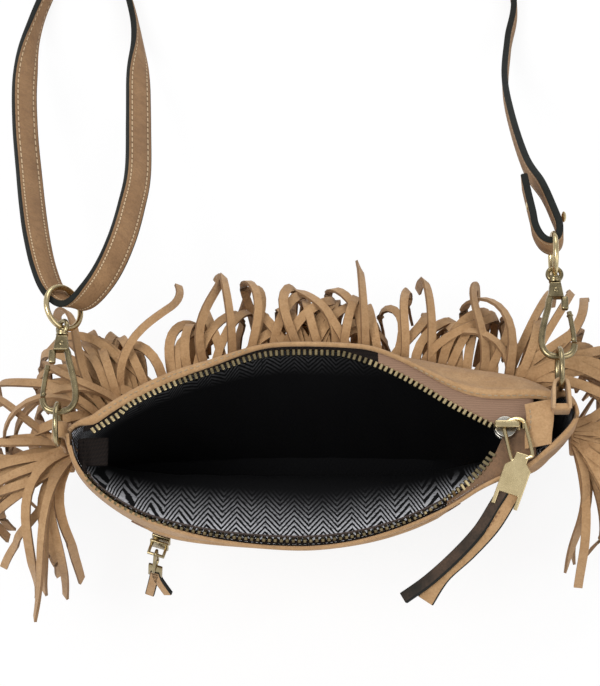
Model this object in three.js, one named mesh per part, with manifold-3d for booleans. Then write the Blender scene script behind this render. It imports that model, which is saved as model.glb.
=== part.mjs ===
// A fringed suede shoulder bag with its zipped mouth pulled open, standing on its base panel.
// The strap trails on the surface behind it. Millimetres, +Z up, the origin under the middle of the base.
// The plain back with the zipped pocket faces -Y, and the fringed front faces +Y.

import * as THREE from "three";
import { mergeVertices } from "three/addons/utils/BufferGeometryUtils.js";
import Module from "manifold-3d";

const wasm = await Module();
wasm.setup();

// Bag body
const BODY_HALF_WIDTH = 131;
const BASE_HALF_WIDTH = 118;
const BASE_HALF_DEPTH = 15;
const BASE_THICK = 2;
const CORNER_HEIGHT = 148;
const MOUTH_DIP = 10;
const WIDEST_X = -12;
const FAR_DEPTH = 57;
const NEAR_DEPTH = 58;
const MOUTH_LEAN = 22;
const SUEDE = 1.6;
const LINING = 0.8;
const GAP = 0.4;
const LINING_GAP = 0.9;
const BULGE_LEVEL = 0.86;
const SEAM_HALF = 1.4;
const EDGE_TURN_IN = 3;
const ROOF_TURN_IN = 16;
const ROOF_X = BODY_HALF_WIDTH - 33;
const ROOF_SPAN = 42;

// Zips
const MOUTH_LEFT_X = -BODY_HALF_WIDTH + 9;
const MOUTH_RIGHT_X = BODY_HALF_WIDTH - 39;
const MOUTH_FAR = 53;
const MOUTH_NEAR = 54;
const TOOTH_PITCH = 7;
const TOOTH_WIDE = 3.4;
const TOOTH_LONG = 3.6;
const TOOTH_TALL = 2.2;
const BEAD = 1.8;
const TAPE = 0.8;
const CHAIN_END_X = BODY_HALF_WIDTH - 19;
const POCKET_LEVEL = 0.8;
const POCKET_HALF_LENGTH = 84;
const POCKET_X = -14;
const POCKET_CHAIN = 3;
const POCKET_TAPE_WIDE = 12;
const POCKET_SLIDER_X = POCKET_X - POCKET_HALF_LENGTH + 14;

// Fringe
const STRIP_WIDE = 5.6;
const STRIP_THICK = 1.4;
const STRIP_STEPS = 5;
const TOP_FRINGE_COUNT = 27;
const LOW_FRINGE_COUNT = 22;
const TASSEL_COUNT = 8;

// Strap and metal fittings
const STRAP_WIDE = 13;
const STRAP_THICK = 4;
const RING_RADIUS = 11.5;
const RING_WIRE = 1.5;
const LINK_RADIUS = 10.5;
const LINK_WIRE = 1.4;
const HOOK_WIRE = 1.7;
const HOOK_HALF_WIDE = 9;
const NECK_LONG = 9;
const NECK_WIDE = 8.6;
const NECK_THICK = 5;
const FIT = 0.3;

const bag = new THREE.Group();

const suede = paint(0xb28a5b, 0.95, 0);
const liningCloth = paint(0x55545a, 0.8, 0);
const zipTape = paint(0x9c7358, 0.9, 0);
const brass = paint(0xb9a573, 0.35, 1);
const darkBrass = paint(0x5a4f38, 0.4, 1);

function paint(color, roughness, metalness) {
  return new THREE.MeshStandardMaterial({ color, roughness, metalness });
}

function add(name, geometry, material, parent = bag) {
  const mesh = new THREE.Mesh(geometry, material);
  mesh.name = name;
  parent.add(mesh);
  return mesh;
}

// Solids: joining, cutting and going back to a geometry
function solid(geometry) {
  const bare = new THREE.BufferGeometry();
  const source = geometry.index ? geometry.toNonIndexed() : geometry;
  bare.setAttribute("position", source.getAttribute("position"));
  const merged = mergeVertices(bare, 1e-4);
  const made = new wasm.Manifold(
    new wasm.Mesh({
      numProp: 3,
      vertProperties: merged.attributes.position.array,
      triVerts: new Uint32Array(merged.index.array),
    }),
  );
  return made;
}

function geometryOf(made) {
  const mesh = made.getMesh();
  const geometry = new THREE.BufferGeometry();
  geometry.setAttribute("position", new THREE.BufferAttribute(mesh.vertProperties, 3));
  geometry.setIndex(new THREE.BufferAttribute(mesh.triVerts, 1));
  return geometry;
}

function joined(geometries) {
  return geometryOf(geometries.map(solid).reduce((a, b) => a.add(b)));
}

// A closed body from rows of points: each row is a closed section, and the ends are capped.
// flip(j) turns the diagonal of the quads at place j of a section.
function skin(rows, closed = false, flip = () => false) {
  const sides = rows[0].length;
  const vertices = rows.flat().flatMap((p) => [p.x, p.y, p.z]);
  const faces = [];
  const count = closed ? rows.length : rows.length - 1;
  for (let i = 0; i < count; i++) {
    const next = (i + 1) % rows.length;
    for (let j = 0; j < sides; j++) {
      const a = i * sides + j;
      const b = i * sides + ((j + 1) % sides);
      const c = next * sides + ((j + 1) % sides);
      const d = next * sides + j;
      if (flip(j)) faces.push(a, b, d, b, c, d);
      else faces.push(a, b, c, a, c, d);
    }
  }
  if (!closed) {
    const last = (rows.length - 1) * sides;
    for (let j = 1; j < sides - 1; j++) {
      faces.push(0, j + 1, j, last, last + j, last + j + 1);
    }
  }
  const geometry = new THREE.BufferGeometry();
  geometry.setAttribute("position", new THREE.Float32BufferAttribute(vertices, 3));
  geometry.setIndex(faces);
  if (solid(geometry).volume() < 0) {
    for (let i = 0; i < faces.length; i += 3) {
      [faces[i + 1], faces[i + 2]] = [faces[i + 2], faces[i + 1]];
    }
    geometry.setIndex(faces);
  }
  return geometry;
}

function tangentAt(path, i, closed = false) {
  const n = path.length;
  const before = closed ? path[(i + n - 1) % n] : path[Math.max(0, i - 1)];
  const after = closed ? path[(i + 1) % n] : path[Math.min(n - 1, i + 1)];
  return after.clone().sub(before).normalize();
}

// A flat bar along a path. acrossAt(i) says which way its width runs at each point.
function flatBar(path, acrossAt, wide, thick) {
  const rows = path.map((p, i) => {
    const along = tangentAt(path, i);
    const across = acrossAt(i).clone();
    across.addScaledVector(along, -across.dot(along)).normalize();
    const up = along.clone().cross(across);
    const corner = (a, b) =>
      p.clone().addScaledVector(across, (a * wide) / 2).addScaledVector(up, (b * thick) / 2);
    return [corner(-1, -1), corner(1, -1), corner(1, 1), corner(-1, 1)];
  });
  return skin(rows);
}

// A round bar along a path that lies roughly in one plane with the given normal.
function roundBar(path, normal, radius, sides, closed = false) {
  const rows = path.map((p, i) => {
    const along = tangentAt(path, i, closed);
    const side = along.clone().cross(normal).normalize();
    const lift = side.clone().cross(along);
    return Array.from({ length: sides }, (_, k) => {
      const angle = (2 * Math.PI * (k + 0.5)) / sides;
      return p
        .clone()
        .addScaledVector(side, radius * Math.cos(angle))
        .addScaledVector(lift, radius * Math.sin(angle));
    });
  });
  return skin(rows, closed);
}

// A thin curved sheet over a surface point(u, v), u and v from 0 to 1, thickened outwards along outward(u, v).
function sheet(point, outward, across, up, thick, lift = 0) {
  const rows = [];
  for (let j = 0; j <= up; j++) {
    const inner = [];
    const outer = [];
    for (let i = 0; i <= across; i++) {
      const [u, v] = [i / across, j / up];
      const base = point(u, v);
      const way = outward(u, v);
      inner.push(base.clone().addScaledVector(way, lift));
      outer.push(base.clone().addScaledVector(way, lift + thick));
    }
    rows.push([...inner, ...outer.reverse()]);
  }
  return sheetSkin(rows, across);
}

// Joins the rows of a sheet, and closes its first and last row with a strip of quads.
function sheetSkin(rows, across) {
  const sides = rows[0].length;
  const vertices = rows.flat().flatMap((p) => [p.x, p.y, p.z]);
  const faces = [];
  for (let i = 0; i < rows.length - 1; i++) {
    for (let j = 0; j < sides; j++) {
      const a = i * sides + j;
      const b = i * sides + ((j + 1) % sides);
      faces.push(a, b, b + sides, a, b + sides, a + sides);
    }
  }
  const last = (rows.length - 1) * sides;
  for (let j = 0; j < across; j++) {
    const [a, b, c, d] = [j, j + 1, sides - 2 - j, sides - 1 - j];
    faces.push(a, c, b, a, d, c);
    faces.push(last + a, last + b, last + c, last + a, last + c, last + d);
  }
  const geometry = new THREE.BufferGeometry();
  geometry.setAttribute("position", new THREE.Float32BufferAttribute(vertices, 3));
  geometry.setIndex(faces);
  if (solid(geometry).volume() < 0) {
    for (let i = 0; i < faces.length; i += 3) {
      [faces[i + 1], faces[i + 2]] = [faces[i + 2], faces[i + 1]];
    }
    geometry.setIndex(faces);
  }
  return geometry;
}

// Shape of the bag. side is 1 on the fringed front and -1 on the back.
const spread = (u) => Math.sin((u - 0.5) * Math.PI);
const ease = (t) => {
  const c = Math.min(1, Math.max(0, t));
  return c * c * (3 - 2 * c);
};
const noise = (n) => {
  const value = Math.sin(n * 12.9898 + 4.1) * 43758.5453;
  return value - Math.floor(value);
};

// 0 at the corners and 1 where the mouth is widest
function fullness(side, x, halfWidth) {
  const middle = (WIDEST_X * halfWidth) / BODY_HALF_WIDTH;
  const share = x < middle ? (middle - x) / (middle + halfWidth) : (x - middle) / (halfWidth - middle);
  const s = Math.min(1, share);
  const round = Math.sqrt(Math.max(0, 1 - s * s));
  if (side > 0) return x < middle ? Math.pow(round, 1.6) : round;
  return x < middle ? round : Math.pow(Math.max(0, Math.cos((Math.PI / 2) * s)), 1.1);
}

// How far the leather's top edge turns in over the zip, most over its closed end
function turnIn(side, x) {
  const near = Math.abs(x - ROOF_X) / ROOF_SPAN;
  const roof = side > 0 ? ROOF_TURN_IN * (1 - ease(near)) : 0;
  const ends = ease((BODY_HALF_WIDTH - Math.abs(x)) / 14);
  return (EDGE_TURN_IN * (side > 0 ? 1 : 0.6) + roof) * ends;
}

function mouthMiddle(x, level) {
  const right = ease((x - 60) / 70);
  return (-MOUTH_LEAN + 10 * right) * level;
}

// A point of the body at x share u, height share v, moved inwards by inset
function bodyPoint(side, u, v, inset = 0) {
  const lower = Math.min(1, v / BULGE_LEVEL);
  const halfWidth = BASE_HALF_WIDTH + (BODY_HALF_WIDTH - BASE_HALF_WIDTH) * Math.pow(lower, 0.7) - inset;
  const x = spread(u) * halfWidth;
  const full = fullness(side, x, halfWidth);
  const topDepth = side > 0 ? FAR_DEPTH : NEAR_DEPTH;
  const bottomDepth = BASE_HALF_DEPTH * Math.sqrt(Math.max(0, 1 - Math.pow(x / halfWidth, 4)));
  const round = Math.sqrt(Math.max(0, 1 - Math.pow(x / halfWidth, 2)));
  let depth = bottomDepth + (topDepth * full - bottomDepth) * Math.pow(lower, 0.9);
  if (v > BULGE_LEVEL) depth -= turnIn(side, x) * ease((v - BULGE_LEVEL) / (1 - BULGE_LEVEL));
  depth = Math.max(depth - inset * round, SEAM_HALF - 0.7 * inset);
  const height = CORNER_HEIGHT - MOUTH_DIP * full;
  return new THREE.Vector3(x, mouthMiddle(x, lower) + side * depth, BASE_THICK + FIT + v * (height - BASE_THICK - FIT));
}

function bodyOutward(side, u, v) {
  const e = 0.01;
  const centre = Math.min(0.985, Math.max(0.015, u));
  const alongX = bodyPoint(side, centre + e, v).sub(bodyPoint(side, centre - e, v));
  const out = new THREE.Vector3(alongX.y, -alongX.x, 0).multiplyScalar(-side);
  if (out.y * side < 0) out.y = 0;
  return out.normalize();
}

// Body pieces
const LEVELS = [0, 0.22, 0.45, 0.68, BULGE_LEVEL, 0.93, 1];
const SEAM = 0.004;
const ACROSS = 22;
const level = (v) => LEVELS[Math.round(v * (LEVELS.length - 1))];
const alongPanel = (u) => SEAM + u * (1 - 2 * SEAM);

function panel(side) {
  return sheet(
    (u, v) => bodyPoint(side, alongPanel(u), level(v)),
    (u, v) => bodyOutward(side, alongPanel(u), level(v)),
    ACROSS,
    LEVELS.length - 1,
    SUEDE,
  );
}

function basePanel() {
  const outline = [];
  const steps = 18;
  for (let i = 0; i < steps; i++) {
    const [a, b] = [alongPanel(i / steps), alongPanel(1 - i / steps)];
    outline.push([i, bodyPoint(-1, a, 0).addScaledVector(bodyOutward(-1, a, 0), SUEDE)]);
    outline.push([i + steps, bodyPoint(1, b, 0).addScaledVector(bodyOutward(1, b, 0), SUEDE)]);
  }
  outline.sort((a, b) => a[0] - b[0]);
  const shape = new THREE.Shape(outline.map(([, p]) => new THREE.Vector2(p.x, p.y)));
  return new THREE.ExtrudeGeometry(shape, { depth: BASE_THICK, bevelEnabled: false });
}

// A loose inner bag on the same grid as the panels, open at the top just under the zip tape
function liningBag() {
  const across = ACROSS;
  const topShare = 0.7;
  const at = (side, i, v, inset) => {
    if (v < 1) return bodyPoint(side, alongPanel(i / across), v, inset);
    const low = bodyPoint(side, alongPanel(i / across), LEVELS[LEVELS.length - 2], inset);
    return low.lerp(bodyPoint(side, alongPanel(i / across), 1, inset), topShare);
  };
  const loop = (v, inset) => {
    const points = [];
    for (let i = 0; i <= across; i++) points.push(at(-1, i, v, inset));
    for (let i = across; i >= 0; i--) points.push(at(1, i, v, inset));
    return points;
  };
  const outer = LEVELS.map((v) => loop(v, LINING_GAP));
  const inner = LEVELS.map((v) => loop(Math.max(v, 0.01), LINING_GAP + LINING)).reverse();
  return skin([...outer, ...inner], false, (j) => j > across);
}

add("back_panel", panel(-1), suede);
add("front_panel", panel(1), suede);
add("base_panel", basePanel(), suede);
add("lining", liningBag(), liningCloth);

// Mouth zip. The two rows of teeth part at the left end and meet in the slider.
const TAPE_DROP = 1.3;
const TEETH_INSET = 3.1;
const rimHeight = (side, x) => CORNER_HEIGHT - MOUTH_DIP * fullness(side, x, BODY_HALF_WIDTH);

// The two rows come to one height towards the slider
function zipHeight(side, x) {
  const own = rimHeight(side, x);
  const shared = (own + rimHeight(-side, x)) / 2;
  return own + (shared - own) * ease((x - 60) / 30) - TAPE_DROP;
}

function toothDepth(side, x) {
  const s = x < WIDEST_X ? (WIDEST_X - x) / (WIDEST_X - MOUTH_LEFT_X + 2) : (x - WIDEST_X) / (MOUTH_RIGHT_X + 1 - WIDEST_X);
  const arch = Math.max(0, Math.cos((Math.PI / 2) * Math.min(1, s)));
  const open = side > 0 ? MOUTH_FAR * arch : MOUTH_NEAR * Math.pow(arch, x < WIDEST_X ? 0.45 : 0.6);
  const room = side * (edgeLine(side, x).y - mouthMiddle(x, 1)) - TEETH_INSET;
  return Math.min(open, room);
}

function toothLine(side, x) {
  const closed = Math.max(toothDepth(side, x), 1.4);
  return new THREE.Vector3(x, mouthMiddle(x, 1) + side * closed, zipHeight(side, x));
}

// The leather's top edge as it is built, in straight pieces
function edgeLine(side, x) {
  const share = Math.asin(Math.min(1, Math.max(-1, x / BODY_HALF_WIDTH))) / Math.PI + 0.5;
  const i = Math.min(ACROSS - 1, Math.max(0, Math.floor(((share - SEAM) / (1 - 2 * SEAM)) * ACROSS)));
  const [a, b] = [i, i + 1].map((k) => bodyPoint(side, alongPanel(k / ACROSS), 1));
  return a.lerp(b, Math.min(1, Math.max(0, (x - a.x) / (b.x - a.x))));
}

// Points along one row of teeth, evenly spaced, with the direction into the mouth at each
function rowPoints(side, fromX, toX, pitch) {
  const fine = [];
  for (let i = 0; i <= 400; i++) fine.push(toothLine(side, fromX + ((toX - fromX) * i) / 400));
  const curve = new THREE.CatmullRomCurve3(fine);
  const count = Math.floor(curve.getLength() / pitch);
  curve.arcLengthDivisions = 800;
  return Array.from({ length: count + 1 }, (_, i) => {
    const at = curve.getPointAt(i / count);
    const along = curve.getTangentAt(i / count);
    const into = new THREE.Vector3(along.y, -along.x, 0).multiplyScalar(side).normalize();
    return { at, along, into };
  });
}

const beadBar = (points, size) => flatBar(points.map((p) => p.at), (i) => points[i].into, size, size);

function teethRow(side) {
  const points = rowPoints(side, MOUTH_LEFT_X, MOUTH_RIGHT_X - 3.6, TOOTH_PITCH);
  const beadPath = points.filter((_, i) => i % 2 === 0 || i === points.length - 1);
  const bead = beadBar(beadPath, BEAD);
  const teeth = points.map(({ at, into }) => {
    const tooth = new THREE.BoxGeometry(TOOTH_LONG, TOOTH_WIDE, TOOTH_TALL);
    const place = new THREE.Matrix4().makeBasis(
      into,
      new THREE.Vector3(-into.y, into.x, 0),
      new THREE.Vector3(0, 0, 1),
    );
    place.setPosition(at.clone().addScaledVector(into, TOOTH_LONG / 2 - BEAD / 2));
    return tooth.applyMatrix4(place);
  });
  return joined([bead, ...teeth]);
}

function box(x, y, z, cx, cy, cz) {
  return new THREE.BoxGeometry(x, y, z).translate(cx, cy, cz);
}

function mouthTape(side) {
  const fromX = MOUTH_LEFT_X;
  const toX = CHAIN_END_X;
  const point = (u, v) => {
    const x = fromX + (toX - fromX) * u;
    const inner = toothLine(side, x);
    const outer = edgeLine(side, x);
    const start = inner.clone().setY(Math.min(inner.y * side + BEAD / 2 + 0.7, outer.y * side - GAP - 0.5) * side);
    const end = new THREE.Vector3(x, outer.y - side * GAP, rimHeight(side, x) - TAPE_DROP);
    return start.lerp(end, v);
  };
  const tape = solid(sheet(point, () => new THREE.Vector3(0, 0, 1), 24, 1, TAPE, -TAPE / 2));
  const points = rowPoints(side, MOUTH_LEFT_X, MOUTH_RIGHT_X - 3.6, TOOTH_PITCH);
  const room = solid(beadBar(points.filter((_, i) => i % 2 === 0 || i === points.length - 1), BEAD + 1.7));
  const pieces = tape.subtract(room).subtract(solid(box(5, 7, 6, MOUTH_RIGHT_X - 2, -27, 142))).decompose();
  return geometryOf(pieces.reduce((a, b) => (a.volume() > b.volume() ? a : b)));
}

add("back_teeth", teethRow(-1), darkBrass);
add("front_teeth", teethRow(1), brass);
add("back_mouth_tape", mouthTape(-1), zipTape);
add("front_mouth_tape", mouthTape(1), zipTape);

// A slider with a bar to hold its pull. The bar runs along the zip, and a wire link hangs around it.
const SLIDER = { long: 9, wide: 8.4, plate: 1.2, post: 1.4, barAbove: 3.3, barHalf: 0.6 };
const LINK = { wire: 0.8, long: 24, endHalf: 1.8, plateHalf: 3.4 };

// Frame of a slider: its place, the way the zip runs, and the way its top faces
function frame(at, along, top) {
  const x = along.clone().normalize();
  const z = top.clone().addScaledVector(x, -top.dot(x)).normalize();
  const y = z.clone().cross(x);
  return new THREE.Matrix4().makeBasis(x, y, z).setPosition(at);
}

function sliderBody(place, clear) {
  const { long, wide, plate, post, barAbove, barHalf } = SLIDER;
  const top = clear + plate;
  const barAt = top + barAbove;
  const parts = [
    box(long, wide, plate, 0, 0, clear + plate / 2),
    box(long, wide, plate, 0, 0, -clear - plate / 2),
    box(2, 2.2, clear * 2 + plate, -long / 2 + 1, 0, 0),
    box(post, 2, barAbove + barHalf + 0.2, -long / 2 + 0.9, 0, top + (barAbove + barHalf) / 2 - 0.1),
    box(post, 2, barAbove + barHalf + 0.2, long / 2 - 0.9, 0, top + (barAbove + barHalf) / 2 - 0.1),
    box(long - 1, barHalf * 2, barHalf * 2, 0, 0, barAt),
  ];
  return joined(parts).applyMatrix4(place);
}

// A closed wire loop around the slider's bar, in the plane of arm and side, with a plate at its far end
function wireLink(at, arm, side, long) {
  const path = [];
  const turn = 6;
  for (let i = 0; i <= turn; i++) {
    const a = Math.PI / 2 + (Math.PI * i) / turn;
    path.push([LINK.endHalf * Math.cos(a), LINK.endHalf * Math.sin(a)]);
  }
  path.push([long - 2, -LINK.plateHalf], [long, -LINK.plateHalf + 1.2], [long, LINK.plateHalf - 1.2]);
  path.push([long - 2, LINK.plateHalf]);
  const points = path.map(([a, b]) => at.clone().addScaledVector(arm, a).addScaledVector(side, b));
  return roundBar(points, arm.clone().cross(side).normalize(), LINK.wire, 6, true);
}

const sliderX = MOUTH_RIGHT_X + 3;
const sliderAt = new THREE.Vector3(sliderX, mouthMiddle(sliderX, 1), zipHeight(1, sliderX));
const CHAIN_CLEAR = TOOTH_TALL / 2 + FIT;
const up = new THREE.Vector3(0, 0, 1);
add("main_slider", sliderBody(frame(sliderAt, new THREE.Vector3(1, 0, 0), up), CHAIN_CLEAR), brass);

function closedChain() {
  const path = [];
  for (let i = 0; i <= 4; i++) {
    const x = sliderX + SLIDER.long / 2 + 0.6 + (i / 4) * (CHAIN_END_X - 0.5 - sliderX - SLIDER.long / 2 - 0.6);
    path.push(new THREE.Vector3(x, mouthMiddle(x, 1), zipHeight(1, x)));
  }
  return flatBar(path, () => new THREE.Vector3(0, 1, 0), 4, TOOTH_TALL);
}
add("closed_chain", closedChain(), brass);

// A leather tab lies over the closed end of the zip, from one edge of the leather to the other
const END_TAB = { long: 13, wide: 21, thick: 1.6 };
const endTabAt = (x) =>
  new THREE.Vector3(x, mouthMiddle(x, 1) + 0.5, Math.max(rimHeight(1, x), rimHeight(-1, x)) + FIT + END_TAB.thick / 2);
const endTabPath = [0, 0.5, 1].map((t) => endTabAt(CHAIN_END_X - 9.5 + END_TAB.long * t));
add("zip_end_tab", flatBar(endTabPath, () => new THREE.Vector3(0, 1, 0), END_TAB.wide, END_TAB.thick), suede);

// The main pull: link, flat plate and a folded leather tab with two tails, hanging out over the back
const mainBar = sliderAt.clone().setZ(sliderAt.z + CHAIN_CLEAR + SLIDER.plate + SLIDER.barAbove);
const mainArm = new THREE.Vector3(0.06, -1, 0.1).normalize();
const linkSide = new THREE.Vector3(0, 0, 1);
const plateStart = mainBar.clone().addScaledVector(mainArm, LINK.long - 1.5);
const plateEnd = plateStart.clone().add(new THREE.Vector3(-2.5, -14, -2.5));
const mainPlate = flatBar(
  [plateStart, plateStart.clone().lerp(plateEnd, 0.5), plateEnd],
  () => new THREE.Vector3(0.6, 0, 0.8),
  8.4,
  1.8,
);
add("main_puller", joined([wireLink(mainBar, mainArm, linkSide, LINK.long), mainPlate]), brass);

function pullTab(points, acrossAt, wide, thick, notch) {
  const path = new THREE.CatmullRomCurve3(points).getPoints(8);
  const tab = solid(flatBar(path, acrossAt, wide, thick));
  const last = path[path.length - 1];
  const along = tangentAt(path, path.length - 1);
  const across = acrossAt(0).clone().addScaledVector(along, -acrossAt(0).dot(along)).normalize();
  const place = new THREE.Matrix4().makeBasis(along, across, along.clone().cross(across));
  place.setPosition(last.clone().addScaledVector(along, -notch / 2 + 1));
  const cut = solid(new THREE.BoxGeometry(notch, 1.2, thick * 8).applyMatrix4(place));
  return geometryOf(tab.subtract(cut));
}

const tabStart = plateEnd.clone().add(new THREE.Vector3(-1, -1.4, -0.6));
const mainTabPath = [
  tabStart,
  tabStart.clone().add(new THREE.Vector3(-8, -9, -3)),
  tabStart.clone().add(new THREE.Vector3(-27, -22, -12)),
  tabStart.clone().add(new THREE.Vector3(-46, -36, -25)),
];
add(
  "main_pull_tab",
  pullTab(mainTabPath, () => new THREE.Vector3(0.55, -0.4, 0.75), 9.5, 3.2, 22),
  suede,
);

// The panels as they are built, so that what lies on them follows their facets
function onPanel(side, u, v, lift) {
  const corner = (i, j) => {
    const [a, b] = [alongPanel(i / ACROSS), LEVELS[j]];
    const out = bodyOutward(side, a, b);
    return [bodyPoint(side, a, b).addScaledVector(out, SUEDE), out];
  };
  const i = Math.min(ACROSS - 1, Math.floor(u * ACROSS));
  let j = 0;
  while (j < LEVELS.length - 2 && LEVELS[j + 1] <= v) j++;
  const fu = u * ACROSS - i;
  const fv = (v - LEVELS[j]) / (LEVELS[j + 1] - LEVELS[j]);
  const [low, lowOut] = mix(corner(i, j), corner(i + 1, j), fu);
  const [high, highOut] = mix(corner(i, j + 1), corner(i + 1, j + 1), fu);
  const [at, out] = mix([low, lowOut], [high, highOut], fv);
  return { at: at.addScaledVector(out.normalize(), lift), out };
}

function mix([a, aOut], [b, bOut], share) {
  return [a.clone().lerp(b, share), aOut.clone().lerp(bOut, share)];
}

const shareAt = (x, v) => {
  const lower = Math.min(1, v / BULGE_LEVEL);
  const halfWidth = BASE_HALF_WIDTH + (BODY_HALF_WIDTH - BASE_HALF_WIDTH) * Math.pow(lower, 0.7);
  return Math.asin(Math.max(-1, Math.min(1, x / halfWidth))) / Math.PI + 0.5;
};

// Pocket zip on the back panel
const LIFT = 0.4;
function panelStrip(side, fromX, toX, lowLevel, highLevel, thick, lift, across) {
  const [u0, u1] = [shareAt(fromX, lowLevel), shareAt(toX, lowLevel)];
  const at = (u, v) => onPanel(side, u0 + (u1 - u0) * u, lowLevel + (highLevel - lowLevel) * v, lift);
  return sheet((u, v) => at(u, v).at, (u, v) => at(u, v).out, across, 1, thick);
}
const halfTape = POCKET_TAPE_WIDE / 2 / CORNER_HEIGHT;
const halfChain = POCKET_CHAIN / 2 / CORNER_HEIGHT;
const [pocketLeft, pocketRight] = [POCKET_X - POCKET_HALF_LENGTH, POCKET_X + POCKET_HALF_LENGTH];
add(
  "pocket_tape",
  panelStrip(-1, pocketLeft, pocketRight, POCKET_LEVEL - halfTape, POCKET_LEVEL + halfTape, TAPE, LIFT, 24),
  zipTape,
);
add(
  "pocket_chain",
  panelStrip(
    -1,
    POCKET_SLIDER_X + 5.5,
    pocketRight - 4,
    POCKET_LEVEL - halfChain,
    POCKET_LEVEL + halfChain,
    1.4,
    LIFT * 2 + TAPE,
    24,
  ),
  brass,
);

const pocketShare = shareAt(POCKET_SLIDER_X, POCKET_LEVEL);
const pocketSpot = onPanel(-1, pocketShare, POCKET_LEVEL, 0);
const pocketAlong = onPanel(-1, pocketShare + 0.02, POCKET_LEVEL, 0).at.sub(pocketSpot.at).normalize();
const pocketOut = pocketSpot.out.clone().addScaledVector(pocketAlong, -pocketSpot.out.dot(pocketAlong)).normalize();
const pocketAt = pocketSpot.at.clone().addScaledVector(pocketOut, LIFT + TAPE + 3.8);
add("pocket_slider", sliderBody(frame(pocketAt, pocketAlong, pocketOut), 0.8), darkBrass);
const pocketBar = pocketAt.clone().addScaledVector(pocketOut, 0.8 + SLIDER.plate + SLIDER.barAbove);
const pocketArm = new THREE.Vector3(0, 0, -1).addScaledVector(pocketOut, 0.25).normalize();
const pocketLinkLong = 12;
add("pocket_puller", wireLink(pocketBar, pocketArm, pocketOut, pocketLinkLong), darkBrass);
const pocketTabStart = pocketBar.clone().addScaledVector(pocketArm, pocketLinkLong + 1.2);
add(
  "pocket_pull_tab",
  pullTab(
    [0, 14, 28, 42].map((d) => pocketTabStart.clone().addScaledVector(pocketArm, d)),
    () => pocketAlong,
    9,
    2.6,
    20,
  ),
  suede,
);

// Rings and swivel clasps. Each clasp lies level, its hook round the small link ring at the corner
// of the bag and its eye round the O-ring that holds the strap.
function ring(centre, normal, radius, wire, sides) {
  const [a, b] = planeAxes(normal);
  const path = Array.from({ length: sides }, (_, i) => {
    const t = (2 * Math.PI * i) / sides;
    return centre.clone().addScaledVector(a, radius * Math.cos(t)).addScaledVector(b, radius * Math.sin(t));
  });
  return roundBar(path, normal, wire, 6, true);
}

function planeAxes(normal) {
  const a = new THREE.Vector3(0, 1, 0).addScaledVector(normal, -normal.y).normalize();
  return [a, normal.clone().cross(a)];
}

const toWorld = (place, x, y, z) => new THREE.Vector3(x, y, z).applyMatrix4(place);
const GATE = { from: 7.5, to: 26.4, wide: 2.6, thick: 2.6, pivot: 25 };

// In a clasp's own frame y runs from the hook's bend to the strap, x is across, z is up.
function claspHook(place) {
  const half = HOOK_HALF_WIDE;
  const path = [
    [half - 0.6, 6.2],
    [half - 1.6, 2.6],
    [5, 0.4],
    [0, -0.6],
    [-5, 0.4],
    [-half + 1.4, 3.2],
    [-half, 8],
    [-half, 15],
    [-half + 1, 22],
    [-half + 3.6, 28],
    [-3.6, 32],
    [0, 34],
    [0, 37],
  ].map(([x, y]) => toWorld(place, x, y, 0));
  const normal = toWorld(place, 0, 0, 1).sub(toWorld(place, 0, 0, 0));
  const bow = roundBar(path, normal, HOOK_WIRE, 8);
  const neck = box(NECK_WIDE, NECK_LONG, NECK_THICK, 0, 33 + NECK_LONG / 2, 0).applyMatrix4(place);
  const heel = box(5, 11, 3.6, half - 2.6, 30, 0).applyMatrix4(place);
  const socket = new THREE.CylinderGeometry(1.9, 1.9, 8, 10).translate(0, 33 + NECK_LONG - 2.5, 0);
  const slot = box(5.4, 3, 8, half - 2.8, 25.6, 0).applyMatrix4(place);
  return geometryOf(
    solid(bow).add(solid(neck)).add(solid(heel)).subtract(solid(slot)).subtract(solid(socket.applyMatrix4(place))),
  );
}

function claspGate(place) {
  const half = HOOK_HALF_WIDE;
  return box(GATE.wide, GATE.to - GATE.from, GATE.thick, half - 1.4, (GATE.from + GATE.to) / 2, 0)
    .applyMatrix4(place);
}

// The swivel: a post turning in the neck and an eye around the O-ring
function claspEye(place, roll) {
  const normal = new THREE.Vector3(Math.cos(roll), 0, -Math.sin(roll));
  const eyeAt = 33 + NECK_LONG + 5.2;
  const eye = ring(new THREE.Vector3(0, eyeAt, 0), normal, 3.6, 1.2, 10);
  const post = new THREE.CylinderGeometry(1.5, 1.5, 7, 8).translate(0, eyeAt - 6.4, 0);
  return joined([eye, post]).applyMatrix4(place);
}

const rightChain = { x: BODY_HALF_WIDTH - 8, link: 34 - MOUTH_LEAN, z: CORNER_HEIGHT + 4 };
const leftChain = { x: -BODY_HALF_WIDTH - SUEDE - 4.2, link: 4 - MOUTH_LEAN, z: CORNER_HEIGHT + 2 };

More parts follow.
